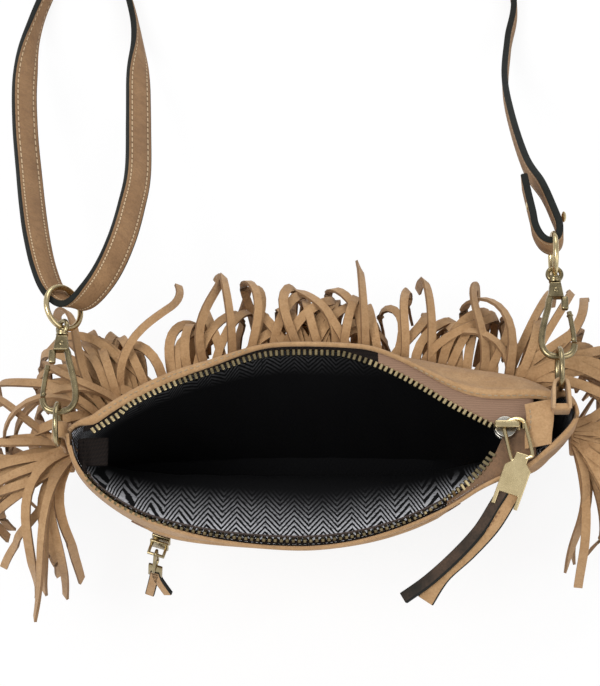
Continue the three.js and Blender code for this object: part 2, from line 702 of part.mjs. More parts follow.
for (const [name, chain] of [["left", leftChain], ["right", rightChain]]) {
  const acrossBag = new THREE.Vector3(1, 0, 0);
  const linkAt = new THREE.Vector3(chain.x, chain.link, chain.z);
  add(name + "_link_ring", ring(linkAt, acrossBag, LINK_RADIUS, LINK_WIRE, 16), darkBrass);
  const bend = chain.link + LINK_RADIUS - LINK_WIRE - HOOK_WIRE - 0.6;
  const flip = name === "left" ? -1 : 1;
  const place = new THREE.Matrix4().makeBasis(
    new THREE.Vector3(flip, 0, 0),
    new THREE.Vector3(0, 1, 0),
    new THREE.Vector3(0, 0, flip),
  );
  place.setPosition(chain.x, bend + 0.6, chain.z);
  add(name + "_hook", claspHook(place), darkBrass);
  add(name + "_gate", claspGate(place), darkBrass);
  const ringTilt = name === "left" ? Math.PI / 4 : Math.PI / 2;
  const normal = new THREE.Vector3(Math.sin(ringTilt), 0, Math.cos(ringTilt));
  add(name + "_swivel_eye", claspEye(place, ringTilt), darkBrass);
  const eyeAt = bend + 0.6 + 33 + NECK_LONG + 5.2;
  const ringAt = new THREE.Vector3(chain.x, eyeAt + RING_RADIUS - 0.1, chain.z);
  add(name + "_o_ring", ring(ringAt, normal, RING_RADIUS, RING_WIRE, 18), brass);
  chain.farWire = ringAt.clone().setY(ringAt.y + RING_RADIUS);
  chain.normal = normal;
}

// Leather loops that hold the link rings: the left one stands on the side seam, the right one on the corner
const LOOP = { thick: 1.6, tall: 8, radius: 3.4 };

function arc(centre, from, to, radius, first, last, count) {
  return Array.from({ length: count + 1 }, (_, i) => {
    const angle = first + ((last - first) * i) / count;
    return centre
      .clone()
      .addScaledVector(from, radius * Math.cos(angle))
      .addScaledVector(to, radius * Math.sin(angle));
  });
}

const [axisX, axisY, axisZ] = [[1, 0, 0], [0, 1, 0], [0, 0, 1]].map((v) => new THREE.Vector3(...v));
const leftEye = new THREE.Vector3(leftChain.x, leftChain.link, leftChain.z - LINK_RADIUS - 0.2);
const leftLoop = [
  leftEye.clone().add(new THREE.Vector3(LOOP.radius, 0, -20)),
  ...arc(leftEye, axisX, axisZ, LOOP.radius, 0, Math.PI, 6),
  leftEye.clone().add(new THREE.Vector3(-2.4, 0, -6)),
  leftEye.clone().add(new THREE.Vector3(1.1, 0, -12)),
  leftEye.clone().add(new THREE.Vector3(1.4, 0, -20)),
];
add("left_corner_loop", flatBar(leftLoop, () => axisY, LOOP.tall, LOOP.thick), suede);

const rightEye = new THREE.Vector3(rightChain.x, rightChain.link - LINK_RADIUS, rightChain.z);
const rightLoop = [
  rightEye.clone().add(new THREE.Vector3(LOOP.radius, -11, 0)),
  ...arc(rightEye, axisX, axisY, LOOP.radius, 0, Math.PI, 6),
  rightEye.clone().add(new THREE.Vector3(-LOOP.radius, -11, 0)),
];
add(
  "right_corner_loop",
  joined([
    flatBar(rightLoop, () => axisZ, LOOP.tall, LOOP.thick),
    box(8.8, 2.2, 11, rightChain.x, -9.6, 151),
  ]),
  suede,
);

// Strap: folded round the right O-ring, out over the surface behind, back through the left O-ring
// and riveted to itself. The tilt is how far its width leans from upright.
const STRAP_FLOOR = STRAP_WIDE / 2 + 0.2;
const TURN = { radius: 4, inside: 2.2 };

function throughRing(chain) {
  const centre = chain.farWire.clone().setY(chain.farWire.y - TURN.inside);
  return arc(centre, chain.normal, axisY.clone().negate(), TURN.radius, Math.PI, 0, 6);
}

const rightTurn = throughRing(rightChain);
const leftTurn = throughRing(leftChain);
const [rw, lw] = [rightChain.farWire, leftChain.farWire];
const strapRun = new THREE.CatmullRomCurve3(
  [
    [rw.x + 4, rw.y - 2.2, rw.z],
    [rw.x + 2.6, rw.y + 14, rw.z - 3],
    [rw.x + 2.4, rw.y + 32, rw.z - 10],
    [122, 150, 118],
    [119, 200, 80],
    [117, 250, 40],
    [121, 295, 16],
    [126, 335, STRAP_FLOOR],
    [112, 385, STRAP_FLOOR],
    [75, 425, STRAP_FLOOR],
    [15, 445, STRAP_FLOOR],
    [-45, 442, STRAP_FLOOR],
    [-100, 425, STRAP_FLOOR],
    [-145, 390, STRAP_FLOOR],
    [-167, 345, STRAP_FLOOR],
    [-173, 300, 22],
    [-173, 250, 50],
    [-170, 200, 78],
    [-162, 150, 106],
    [-150, 105, 132],
    [lw.x - 2.8, lw.y - 2.2, lw.z - 2.8],
  ].map((p) => new THREE.Vector3(...p)),
);
const strapBack = new THREE.CatmullRomCurve3(
  [
    [lw.x + 2.8, lw.y - 2.2, lw.z + 2.8],
    [-126, 105, 136],
    [-115, 150, 108],
    [-110, 200, 78],
    [-110, 250, 48],
    [-112, 290, 22],
    [-118, 325, STRAP_FLOOR],
    [-131, 362, STRAP_FLOOR],
    [-137, 384, STRAP_FLOOR],
  ].map((p) => new THREE.Vector3(...p)),
);

function strapPath() {
  const tail = [
    new THREE.Vector3(rw.x - 2.6, rw.y + 30, rw.z - 9),
    new THREE.Vector3(rw.x - 2.7, rw.y + 12, rw.z - 2.5),
  ];
  const run = strapRun.getSpacedPoints(34);
  const back = strapBack.getSpacedPoints(14);
  const points = [...tail, ...rightTurn, ...run.slice(1, -1), ...leftTurn, ...back.slice(1)];
  points.forEach((p) => (p.z = Math.max(p.z, STRAP_FLOOR + 8 * strapTilt(p))));
  return points;
}

// The left strands lean by 45 degrees and the rest stands upright
function strapTilt(p) {
  const left = ease((-60 - p.x) / 50);
  const raised = ease((p.z - STRAP_FLOOR) / 60);
  return (Math.PI / 4) * left * raised;
}
const strapPoints = strapPath();
const strapAcross = (i) => {
  const tilt = strapTilt(strapPoints[i]);
  return new THREE.Vector3(Math.sin(tilt), 0, -Math.cos(tilt));
};
add("strap", flatBar(strapPoints, strapAcross, STRAP_WIDE, STRAP_THICK), suede);

// Fringe. Each strip leaves its band outwards, bends over and hangs, and lies on the surface if it reaches it.
function strip({ root, heading, rise, bend, long, across }) {
  const path = [root.clone()];
  const step = long / STRIP_STEPS;
  const flat = new THREE.Vector3(heading.x, heading.y, 0).normalize();
  for (let i = 0; i < STRIP_STEPS; i++) {
    const travelled = (i + 0.5) * step;
    const last = path[path.length - 1];
    let angle = rise - (rise + Math.PI / 2) * ease(travelled / bend);
    const floorTurn = ease((30 - last.z) / 24);
    angle *= 1 - floorTurn;
    const next = last.clone().addScaledVector(flat, step * Math.cos(angle));
    next.z = Math.max(1.2, last.z + step * Math.sin(angle));
    path.push(next);
  }
  return flatBar(path, () => across, STRIP_WIDE * 0.96, STRIP_THICK);
}

function fringeTier({ count, fromX, toX, low, high, rise, bend, long, seed }) {
  const bandThick = 1.6;
  const band = panelStrip(1, fromX, toX, low, high, bandThick, LIFT * 2 + 0.2, 20);
  const strips = Array.from({ length: count }, (_, i) => {
    const [a, b, c, d] = [0, 1, 2, 3].map((k) => noise(seed + i * 4 + k));
    const x = fromX + 5 + ((toX - fromX - 10) * (i + 0.5)) / count;
    const { at, out } = onPanel(1, shareAt(x, low), low + (high - low) * 0.4, LIFT * 2 + bandThick / 2 + 0.2);
    const heading = out.clone().applyAxisAngle(axisZ, (a - 0.5) * 0.8);
    const across = new THREE.Vector3(-heading.y, heading.x, (b - 0.5) * 0.9);
    return strip({
      root: at,
      heading,
      rise: rise[0] + (rise[1] - rise[0]) * b,
      bend: bend[0] + (bend[1] - bend[0]) * c,
      long: long[0] + (long[1] - long[0]) * d,
      across,
    });
  });
  return joined([band, ...strips]);
}

add(
  "top_fringe",
  fringeTier({
    count: TOP_FRINGE_COUNT,
    fromX: -116,
    toX: 112,
    low: 0.76,
    high: 0.82,
    rise: [0.3, 0.9],
    bend: [55, 85],
    long: [80, 105],
    seed: 3,
  }),
  suede,
);
add(
  "low_fringe",
  fringeTier({
    count: LOW_FRINGE_COUNT,
    fromX: -112,
    toX: 110,
    low: 0.4,
    high: 0.46,
    rise: [-0.2, 0.2],
    bend: [26, 40],
    long: [80, 100],
    seed: 211,
  }),
  suede,
);

function tassel(flip, seed) {
  const middleY = mouthMiddle(flip * BODY_HALF_WIDTH, 0.95);
  const faceX = BODY_HALF_WIDTH + SUEDE - 0.5;
  const root = box(2.4, 14, 9, flip * (faceX + 1.2), middleY, 110);
  const strips = Array.from({ length: TASSEL_COUNT }, (_, i) => {
    const [a, b, c, d] = [0, 1, 2, 3].map((k) => noise(seed + i * 4 + k));
    const share = (i + 0.5) / TASSEL_COUNT;
    const heading = new THREE.Vector3(flip, 0, 0).applyAxisAngle(axisZ, flip * (1.1 - 2.1 * share + 0.3 * (a - 0.5)));
    return strip({
      root: new THREE.Vector3(flip * (faceX + 1.6), middleY + (0.5 - share) * -9, 106 + 7 * (i % 2)),
      heading,
      rise: 0.1 + 0.4 * b,
      bend: 40 + 25 * c,
      long: 85 + 25 * d,
      across: new THREE.Vector3(-heading.y, heading.x, 0.4 * (b - 0.5)),
    });
  });
  return joined([root, ...strips]);
}
add("left_tassel", tassel(-1, 401), suede);
add("right_tassel", tassel(1, 457), suede);

export default bag;
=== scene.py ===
# A fringed suede bag seen from above, standing on a pale surface with its zipped mouth pulled open
import math

import bmesh
import bpy
from mathutils import Matrix, Vector

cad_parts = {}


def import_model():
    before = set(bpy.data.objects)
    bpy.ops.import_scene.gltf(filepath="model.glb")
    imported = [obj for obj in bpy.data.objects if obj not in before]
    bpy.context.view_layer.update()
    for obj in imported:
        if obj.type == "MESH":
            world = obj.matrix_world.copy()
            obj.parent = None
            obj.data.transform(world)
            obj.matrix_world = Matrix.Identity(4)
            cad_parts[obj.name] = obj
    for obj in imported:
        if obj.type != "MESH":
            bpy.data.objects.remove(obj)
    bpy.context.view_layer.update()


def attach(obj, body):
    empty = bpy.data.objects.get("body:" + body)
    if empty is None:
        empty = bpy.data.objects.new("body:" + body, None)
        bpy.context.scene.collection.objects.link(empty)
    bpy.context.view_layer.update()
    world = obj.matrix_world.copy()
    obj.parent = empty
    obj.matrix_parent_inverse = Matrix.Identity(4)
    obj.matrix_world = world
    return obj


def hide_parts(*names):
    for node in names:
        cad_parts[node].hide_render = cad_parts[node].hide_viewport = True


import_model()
mm = 0.001

print("camera, floor and lights")
cameraSet = {
    "target": Vector((-12, 33, 138)) * mm,
    "elevation": math.radians(66),
    "distance": 1100 * mm,
    "lens": 108.9,
    "sensor": 36,
    "nearest": 0.05,
}
floorSet = {"size": 12, "colour": (0.93, 0.93, 0.93, 1), "seen": 1.0, "shadow": 0.15}
worldSet = {"soft": (0.55, 0.56, 0.58, 1), "seen": (1, 1, 1, 1)}
lampAim = Vector((0, 0.03, 0.08))
lampSet = {
    "key": {"at": (-0.9, -0.5, 1.9), "size": 0.9, "power": 24},
    "fill": {"at": (1.2, -0.9, 1.3), "size": 1.4, "power": 11},
    "rim": {"at": (0.2, 1.5, 1.2), "size": 1.0, "power": 10},
}


def addObject(name, data):
    made = bpy.data.objects.new(name, data)
    bpy.context.scene.collection.objects.link(made)
    return made


def emptyTree(owner):
    owner.use_nodes = True
    owner.node_tree.nodes.clear()
    return owner.node_tree


# Links a socket to another node's output, or sets it when the value is a plain one
def feed(tree, socket, value):
    if isinstance(value, bpy.types.NodeSocket):
        tree.links.new(value, socket)
    else:
        socket.default_value = value


def addNode(tree, kind, inputs=None, **settings):
    node = tree.nodes.new("ShaderNode" + kind)
    for title, value in settings.items():
        setattr(node, title, value)
    for title, value in (inputs or {}).items():
        feed(tree, node.inputs[title], value)
    return node


def compute(tree, operation, *values):
    return addNode(tree, "Math", dict(enumerate(values)), operation=operation).outputs[0]


def ramp(tree, value, low, high):
    return addNode(tree, "MapRange", {"Value": value, "From Min": low, "From Max": high}).outputs[0]


def mixColour(tree, factor, first, second):
    return addNode(tree, "Mix", {0: factor, 6: first, 7: second}, data_type="RGBA").outputs[2]


def mixShader(tree, factor, first, second):
    return addNode(tree, "MixShader", {0: factor, 1: first.outputs[0], 2: second.outputs[0]}).outputs[0]


def addCamera():
    data = bpy.data.cameras.new("camera")
    data.lens = cameraSet["lens"]
    data.sensor_width = cameraSet["sensor"]
    data.clip_start = cameraSet["nearest"]
    camera = addObject("camera", data)
    up = cameraSet["elevation"]
    back = Vector((0, -math.cos(up), math.sin(up)))
    camera.location = cameraSet["target"] + back * cameraSet["distance"]
    camera.rotation_euler = back.to_track_quat("Z", "Y").to_euler()
    bpy.context.scene.camera = camera


def addLamp(name, at, size, power):
    data = bpy.data.lights.new(name, "AREA")
    data.size = size
    data.energy = power
    lamp = addObject(name, data)
    lamp.location = at
    lamp.rotation_euler = (Vector(at) - lampAim).to_track_quat("Z", "Y").to_euler()


# The floor takes a faint shadow and otherwise shows as the pale background
def addFloor():
    bm = bmesh.new()
    bmesh.ops.create_grid(bm, x_segments=1, y_segments=1, size=floorSet["size"] / 2)
    mesh = bpy.data.meshes.new("floor")
    bm.to_mesh(mesh)
    bm.free()
    material = bpy.data.materials.new("paleSurface")
    tree = emptyTree(material)
    surface = addNode(tree, "BsdfDiffuse", {"Color": floorSet["colour"]})
    glow = addNode(tree, "Emission", {"Strength": floorSet["seen"]})
    seen = addNode(tree, "LightPath").outputs["Is Camera Ray"]
    share = compute(tree, "MULTIPLY", seen, 1 - floorSet["shadow"])
    addNode(tree, "OutputMaterial", {"Surface": mixShader(tree, share, surface, glow)})
    mesh.materials.append(material)
    floor = addObject("floor", mesh)


def addWorld():
    world = bpy.data.worlds.new("studio")
    bpy.context.scene.world = world
    tree = emptyTree(world)
    soft = addNode(tree, "Background", {"Color": worldSet["soft"]})
    seen = addNode(tree, "Background", {"Color": worldSet["seen"]})
    path = addNode(tree, "LightPath").outputs
    either = compute(tree, "MAXIMUM", path["Is Camera Ray"], path["Is Transmission Ray"])
    addNode(tree, "OutputWorld", {"Surface": mixShader(tree, either, soft, seen)})


bpy.context.scene.view_settings.view_transform = "Standard"
addCamera()
addFloor()
addWorld()
for name, lamp in lampSet.items():
    addLamp(name, **lamp)

print("finishes")
reliefDepth = 0.4 * mm


def newGroup(name, inputs, outputs):
    group = bpy.data.node_groups.new(name, "ShaderNodeTree")
    for title, value in inputs.items():
        kind = "NodeSocketFloat" if isinstance(value, float) else "NodeSocketColor"
        group.interface.new_socket(title, in_out="INPUT", socket_type=kind).default_value = value
    for title in outputs:
        kind = "NodeSocketColor" if title == "Colour" else "NodeSocketFloat"
        group.interface.new_socket(title, in_out="OUTPUT", socket_type=kind)
    return group, group.nodes.new("NodeGroupInput").outputs, group.nodes.new("NodeGroupOutput").inputs


def cloud(tree, where, scale, detail):
    return addNode(tree, "TexNoise", {"Scale": scale, "Detail": detail, "Vector": where}).outputs["Fac"]


# Napped skin: cloudy tone, rubbed patches and fine fibres
def makeNap():
    inputs = {"Colour": (0.5, 0.3, 0.15, 1), "Dark": (0.3, 0.16, 0.07, 1), "Clouds": 0.4}
    group, given, out = newGroup("nap", inputs, ["Colour", "Roughness", "Height"])
    where = addNode(group, "TexCoord").outputs["Object"]
    broad = ramp(group, cloud(group, where, 45, 3), 0.3, 0.75)
    mottle = ramp(group, cloud(group, where, 230, 5), 0.4, 0.7)
    fine = cloud(group, where, 900, 4)
    grain = cloud(group, where, 2600, 2)
    shade = compute(group, "MULTIPLY", broad, given["Clouds"])
    base = mixColour(group, shade, given["Colour"], given["Dark"])
    rubbed = compute(group, "MULTIPLY", mottle, 0.3)
    speck = compute(group, "MULTIPLY_ADD", ramp(group, fine, 0.4, 0.75), 0.4, rubbed)
    soft = compute(group, "MULTIPLY_ADD", mottle, 1.2, fine)
    feed(group, out["Colour"], mixColour(group, speck, base, given["Dark"]))
    feed(group, out["Roughness"], compute(group, "MULTIPLY_ADD", fine, 0.12, 0.84))
    feed(group, out["Height"], compute(group, "ADD", soft, grain))
    return group


# Cast metal: its tone varies with wear
def makePatina():
    inputs = {"Bright": (0.7, 0.6, 0.4, 1), "Dark": (0.2, 0.16, 0.09, 1), "Wear": 0.5}
    group, given, out = newGroup("patina", inputs, ["Colour", "Roughness", "Height"])
    where = addNode(group, "TexCoord").outputs["Object"]
    patches = ramp(group, cloud(group, where, 160, 4), 0.35, 0.7)
    scratches = cloud(group, where, 600, 3)
    share = compute(group, "MULTIPLY", patches, given["Wear"])
    feed(group, out["Colour"], mixColour(group, share, given["Bright"], given["Dark"]))
    feed(group, out["Roughness"], compute(group, "MULTIPLY_ADD", scratches, 0.06, 0.24))
    feed(group, out["Height"], compute(group, "MULTIPLY", scratches, 0.3))
    return group


# Cloth: two sets of threads cross at a slant
def makeWeave():
    gap = (0.03, 0.02, 0.015, 1)
    inputs = {"Colour": (0.5, 0.3, 0.2, 1), "Threads": 2500.0}
    group, given, out = newGroup("weave", inputs, ["Colour", "Height"])
    where = addNode(group, "TexCoord").outputs["Object"]
    parts = addNode(group, "SeparateXYZ", {0: where}).outputs
    across = compute(group, "ADD", parts["X"], parts["Z"])
    along = compute(group, "SUBTRACT", parts["Y"], parts["X"])
    turns = [compute(group, "MULTIPLY", way, given["Threads"]) for way in (across, along)]
    waves = [compute(group, "SINE", turn) for turn in turns]
    crossed = compute(group, "MULTIPLY", *waves)
    shade = compute(group, "MULTIPLY_ADD", crossed, 0.14, 0.3)
    feed(group, out["Colour"], mixColour(group, shade, given["Colour"], gap))
    feed(group, out["Height"], crossed)
    return group


nap = makeNap()
patina = makePatina()
weave = makeWeave()


def finish(name, group, values, bump, metallic=0.0, roughness=None, sheen=0.0, shine=0.5):
    material = bpy.data.materials.new(name)
    tree = emptyTree(material)
    effect = addNode(tree, "Group", node_tree=group)
    for title, value in values.items():
        feed(tree, effect.inputs[title], value)
    given = effect.outputs
    relief = addNode(tree, "Bump", {"Strength": bump, "Distance": reliefDepth, "Height": given["Height"]})
    skin = addNode(tree, "BsdfPrincipled", {
        "Base Color": given["Colour"],
        "Metallic": metallic,
        "Roughness": given["Roughness"] if roughness is None else roughness,
        "Sheen Weight": sheen,
        "Specular IOR Level": shine,
        "Normal": relief.outputs[0],
    })
    addNode(tree, "OutputMaterial", {"Surface": skin.outputs[0]})
    return material


def napped(name, colour, dark, clouds, bump, **more):
    values = {"Colour": (*colour, 1), "Dark": (*dark, 1), "Clouds": clouds}
    return finish(name, nap, values, bump, **more)


def metal(name, bright, dark, wear, bump):
    values = {"Bright": (*bright, 1), "Dark": (*dark, 1), "Wear": wear}
    return finish(name, patina, values, bump, metallic=1.0)


def cloth(name, colour, bump, roughness, threads=2500, shine=0.5):
    values = {"Colour": (*colour, 1), "Threads": threads}
    return finish(name, weave, values, bump, roughness=roughness, shine=shine)


suede = napped("suede", (0.47, 0.29, 0.145), (0.27, 0.145, 0.06), 0.4, 0.6, sheen=0.12, shine=0.2)
suedeDark = napped("suedeCutEdge", (0.014, 0.016, 0.013), (0.006, 0.006, 0.005), 0.6, 0.3, shine=0.3)
suedePale = napped("suedeSide", (0.5, 0.33, 0.18), (0.33, 0.19, 0.09), 0.4, 0.4, sheen=0.1)
suedeSide = napped("suedeStrandSide", (0.28, 0.16, 0.075), (0.14, 0.075, 0.03), 0.5, 0.4)
# Darker suede; at the near tape's right end its darkness is painted shade over the leather
shadedSuede = napped("shadedSuede", (0.22, 0.12, 0.06), (0.08, 0.05, 0.03), 0.8, 0.4)
rubbedSuede = napped("rubbedSuede", (0.1, 0.06, 0.038), (0.012, 0.013, 0.011), 1.0, 0.5, shine=0.3)
brass = metal("brass", (0.62, 0.5, 0.28), (0.3, 0.22, 0.1), 0.3, 0.03)
# Darker aged brass; on the middle of the far zip row it is painted shade
agedBrassAndShade = metal("agedBrassAndShade", (0.36, 0.29, 0.16), (0.08, 0.065, 0.035), 0.7, 0.06)
steel = metal("greySteel", (0.42, 0.4, 0.35), (0.2, 0.18, 0.15), 0.5, 0.1)
zipCloth = cloth("zipCloth", (0.36, 0.22, 0.145), 0.4, 0.85, threads=5200, shine=0.2)
blackCloth = cloth("blackCloth", (0.005, 0.005, 0.0055), 0.5, 0.9, shine=0.08)
darkPiping = cloth("darkPiping", (0.05, 0.032, 0.026), 0.4, 0.75)
threadPale = cloth("threadPale", (0.5, 0.38, 0.24), 0.5, 0.7, threads=6000)
threadBrown = cloth("threadBrown", (0.4, 0.2, 0.09), 0.5, 0.7, threads=6000)

print("helpers")


def ease(t):
    t = min(1, max(0, t))
    return t * t * (3 - 2 * t)


def chance(seed):
    value = math.sin(seed * 12.9898 + 4.1) * 43758.5453
    return value - math.floor(value)


# A smooth curve through the given points, evenly counted
def smoothPath(points, count, closed=False):
    points = [Vector(p) for p in points]
    last = len(points) - 1
    spans = len(points) if closed else last
    out = []
    for step in range(count if closed else count + 1):
        place = step / count * spans
        i = min(int(place), spans - 1)
        t = place - i
        around = [(i + k) % len(points) if closed else min(max(i + k, 0), last) for k in (-1, 0, 1, 2)]
        a, b, c, d = (points[k] for k in around)
        curve = (2 * a - 5 * b + 4 * c - d) * t**2 + (3 * b - a - 3 * c + d) * t**3
        out.append(0.5 * (2 * b + (c - a) * t + curve))
    return out


# A grid whose points are moved by place(u, v), in millimetres. The ends of a closed one are painted as its edge
def addGrid(bm, across, along, place, paint=None, lay=None, closed=False):
    mapLayer = bm.loops.layers.uv.verify()
    old = set(bm.faces)
    bmesh.ops.create_grid(bm, x_segments=across, y_segments=along, size=0.5)
    faces = [face for face in bm.faces if face not in old]
    verts = list(dict.fromkeys(vert for face in faces for vert in face.verts))
    for face in faces:
        face.smooth = True
        if paint:
            middle = face.calc_center_median()
            face.material_index = paint(middle.x + 0.5, middle.y + 0.5)
        for loop in face.loops:
            u, v = loop.vert.co.x + 0.5, loop.vert.co.y + 0.5
            loop[mapLayer].uv = lay(u, v) if lay else (u, v)
    for vert in verts:
        vert.co = place(vert.co.x + 0.5, vert.co.y + 0.5) * mm
    if closed:
        bmesh.ops.remove_doubles(bm, verts=verts, dist=1e-6)
        faces = [face for face in faces if face.is_valid]
        rims = list(dict.fromkeys(edge for face in faces for edge in face.edges if edge.is_boundary))
        ends = bmesh.ops.holes_fill(bm, edges=rims, sides=0)["faces"]
        for end in ends:
            end.material_index = paint(0.3, 0) if paint else 0
        faces += ends
        bmesh.ops.recalc_face_normals(bm, faces=faces)
    return faces


# A section swept along a path: acrossAt(i) gives the way its width runs at each point
def addSweep(bm, path, acrossAt, outline, paint=None, ring=False, sizeAt=None):
    steps = len(path) if ring else len(path) - 1
    sides = len(outline)

    def place(u, v):
        i = round(v * steps) % len(path)
        k = round(u * sides) % sides
        before = path[i - 1] if ring or i else path[0]
        after = path[(i + 1) % len(path)] if ring or i < steps else path[-1]
        tangent = (after - before).normalized()
        across = Vector(acrossAt(i))
        across = (across - tangent * across.dot(tangent)).normalized()
        up = tangent.cross(across)
        a, b = outline[k]
        if sizeAt:
            wide, thick = sizeAt(i / steps)
            a, b = a * wide, b * thick
        return path[i] + across * a + up * b

    return addGrid(bm, sides, steps, place, paint, closed=True)


def ovalOutline(wide, thick, sides):
    turn = 2 * math.pi / sides
    return [(wide * math.cos(k * turn), thick * math.sin(k * turn)) for k in range(sides)]


# A rectangle with eased corners: first the top face, then a side, then the underside and the other side
def flatOutline(wide, thick, corner=0.3):
    a, b = wide / 2, thick / 2
    c, d = a - corner, b - corner
    return [(c, b), (-c, b), (-a, d), (-a, -d), (-c, -b), (c, -b), (a, -d), (a, d)]


def addWire(bm, path, across, radius, sides, ring=False):
    addSweep(bm, path, lambda i: across, ovalOutline(radius, radius, sides), ring=ring)


def paintFlat(face, edge):
    return lambda u, v: face if int(u * 8) in (0, 4) else edge


def frameOf(*ways):
    return Matrix(ways).transposed()


# Always in the same order, as a set of them would not be
def edgesOf(verts):
    return list(dict.fromkeys(edge for vert in verts for edge in vert.link_edges))


def softenEdges(bm, edges, offset, segments=2):
    bmesh.ops.bevel(
        bm,
        geom=edges,
        offset=offset * mm,
        segments=segments,
        profile=0.5,
        affect="EDGES",
        material=-1,
    )


def boxMatrix(size, at, turn=Matrix.Identity(3)):
    scale = Matrix.Diagonal((*(length * mm for length in size), 1))
    return Matrix.Translation(Vector(at) * mm) @ turn.to_4x4() @ scale


def markNew(bm, old, material=0, smooth=True):
    for face in bm.faces:
        if face not in old:
            face.material_index = material
            face.smooth = smooth


def addBlock(bm, size, at, turn=Matrix.Identity(3), bevel=0.3, segments=2, material=0):
    old = set(bm.faces)
    made = bmesh.ops.create_cube(bm, size=1, matrix=boxMatrix(size, at, turn))
    softenEdges(bm, edgesOf(made["verts"]), bevel, segments)
    markNew(bm, old, material, segments > 1)


def addRing(bm, centre, normal, radius, wire, steps, sides):
    centre, normal = Vector(centre) * mm, Vector(normal).normalized()
    outward = normal.orthogonal().normalized()
    turn = frameOf(outward, normal, outward.cross(normal)).to_4x4()
    place = Matrix.Translation(centre + outward * radius * mm) @ turn
    old = set(bm.faces)
    made = bmesh.ops.create_circle(bm, segments=sides, radius=wire * mm, matrix=place)
    bmesh.ops.spin(
        bm,
        geom=edgesOf(made["verts"]),
        cent=centre,
        axis=normal,
        angle=2 * math.pi,
        steps=steps,
        use_merge=True,
    )
    bmesh.ops.recalc_face_normals(bm, faces=[face for face in bm.faces if face not in old])
    markNew(bm, old)


def addKnob(bm, centre, size, turn=Matrix.Identity(3), segments=16):
    place = boxMatrix(size, centre, turn)
    old = set(bm.faces)
    bmesh.ops.create_uvsphere(bm, u_segments=segments, v_segments=segments // 2, radius=0.5, matrix=place)
    markNew(bm, old)


# Threads sewn through a path, one after each pitch
def addStitches(bm, path, long, pitch, radius=0.28):
    travelled = 0
    for before, after in zip(path, path[1:]):
        travelled += (after - before).length
        if travelled < pitch:
            continue
        travelled = 0
        along = (after - before).normalized()
        side = along.cross(Vector((0, 0, 1))).normalized()
        turn = frameOf(along, side, along.cross(side))
        addBlock(bm, (long, radius * 2, radius * 2), after, turn, bevel=radius * 0.7, segments=1)


# Makes the piece, hides the solids it stands for and lets it ride on its body
def addPiece(
    name, bm, materials, stands=(), ridesOn="body", thick=0, offset=-1, bevel=0, smooth=40
):
    for edge in bm.edges:
        if len(edge.link_faces) == 2 and edge.calc_face_angle(0) > math.radians(smooth):
            edge.smooth = False
    mesh = bpy.data.meshes.new(name)
    bm.to_mesh(mesh)
    bm.free()
    for material in materials:
        mesh.materials.append(material)
    piece = addObject(name, mesh)
    if thick:
        wall = piece.modifiers.new("wall", "SOLIDIFY")
        wall.thickness = thick * mm
        wall.offset = offset
    if bevel:
        edges = piece.modifiers.new("edges", "BEVEL")
        edges.width = bevel * mm
        edges.segments = 2
        edges.limit_method = "ANGLE"
    if stands:
        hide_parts(*stands)
    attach(piece, ridesOn)


print("shape of the bag")
body = {
    "halfWidth": 131,
    "baseHalfWidth": 118,
    "baseHalfDepth": 15,
    "floor": 2.3,
    "corner": 148,
    "dip": 10,
    "widestX": -12,
    "far": 57,
    "near": 58,
    "lean": 22,
    "bulge": 0.86,
    "skin": 1.6,
    "rimTurn": 3,
    "lowerRound": 24,
    "folds": 0.5,
}
roof = {"x": 84, "span": 66, "turn": 17, "leftX": -25, "leftSpan": 40, "leftTurn": 4.5}
drawn = {"x": 45, "span": 50, "base": 1.35, "leastX": 60, "leastSpan": 40, "least": 14}
bump = {"x": -87, "span": 24, "rise": 0.5}


def fullness(side, x, halfWidth):
    middle = body["widestX"] * halfWidth / body["halfWidth"]
    share = (middle - x) / (middle + halfWidth) if x < middle else (x - middle) / (halfWidth - middle)
    share = min(1, max(0, share))
    arch = math.sqrt(1 - share * share)
    if x < middle:
        return arch**1.6 if side > 0 else arch
    return arch if side > 0 else math.cos(math.pi / 2 * share) ** (1.1 - 0.38 * ease((x - 75) / 35))


def mouthMiddle(x, level):
    return (10 * ease((x - 60) / 70) - body["lean"]) * level


def rimHeight(side, x):
    return body["corner"] - body["dip"] * fullness(side, x, body["halfWidth"])


# How far the front leather turns in over the mouth, most of all over the closed end of the zip
def rimTurn(x):
    closedEnd = roof["turn"] * (1 - ease(abs(x - roof["x"]) / roof["span"]))
    leftEnd = roof["leftTurn"] * ease((roof["leftX"] - x) / roof["leftSpan"])
    return (body["rimTurn"] + closedEnd + leftEnd) * ease((body["halfWidth"] - abs(x)) / 14)


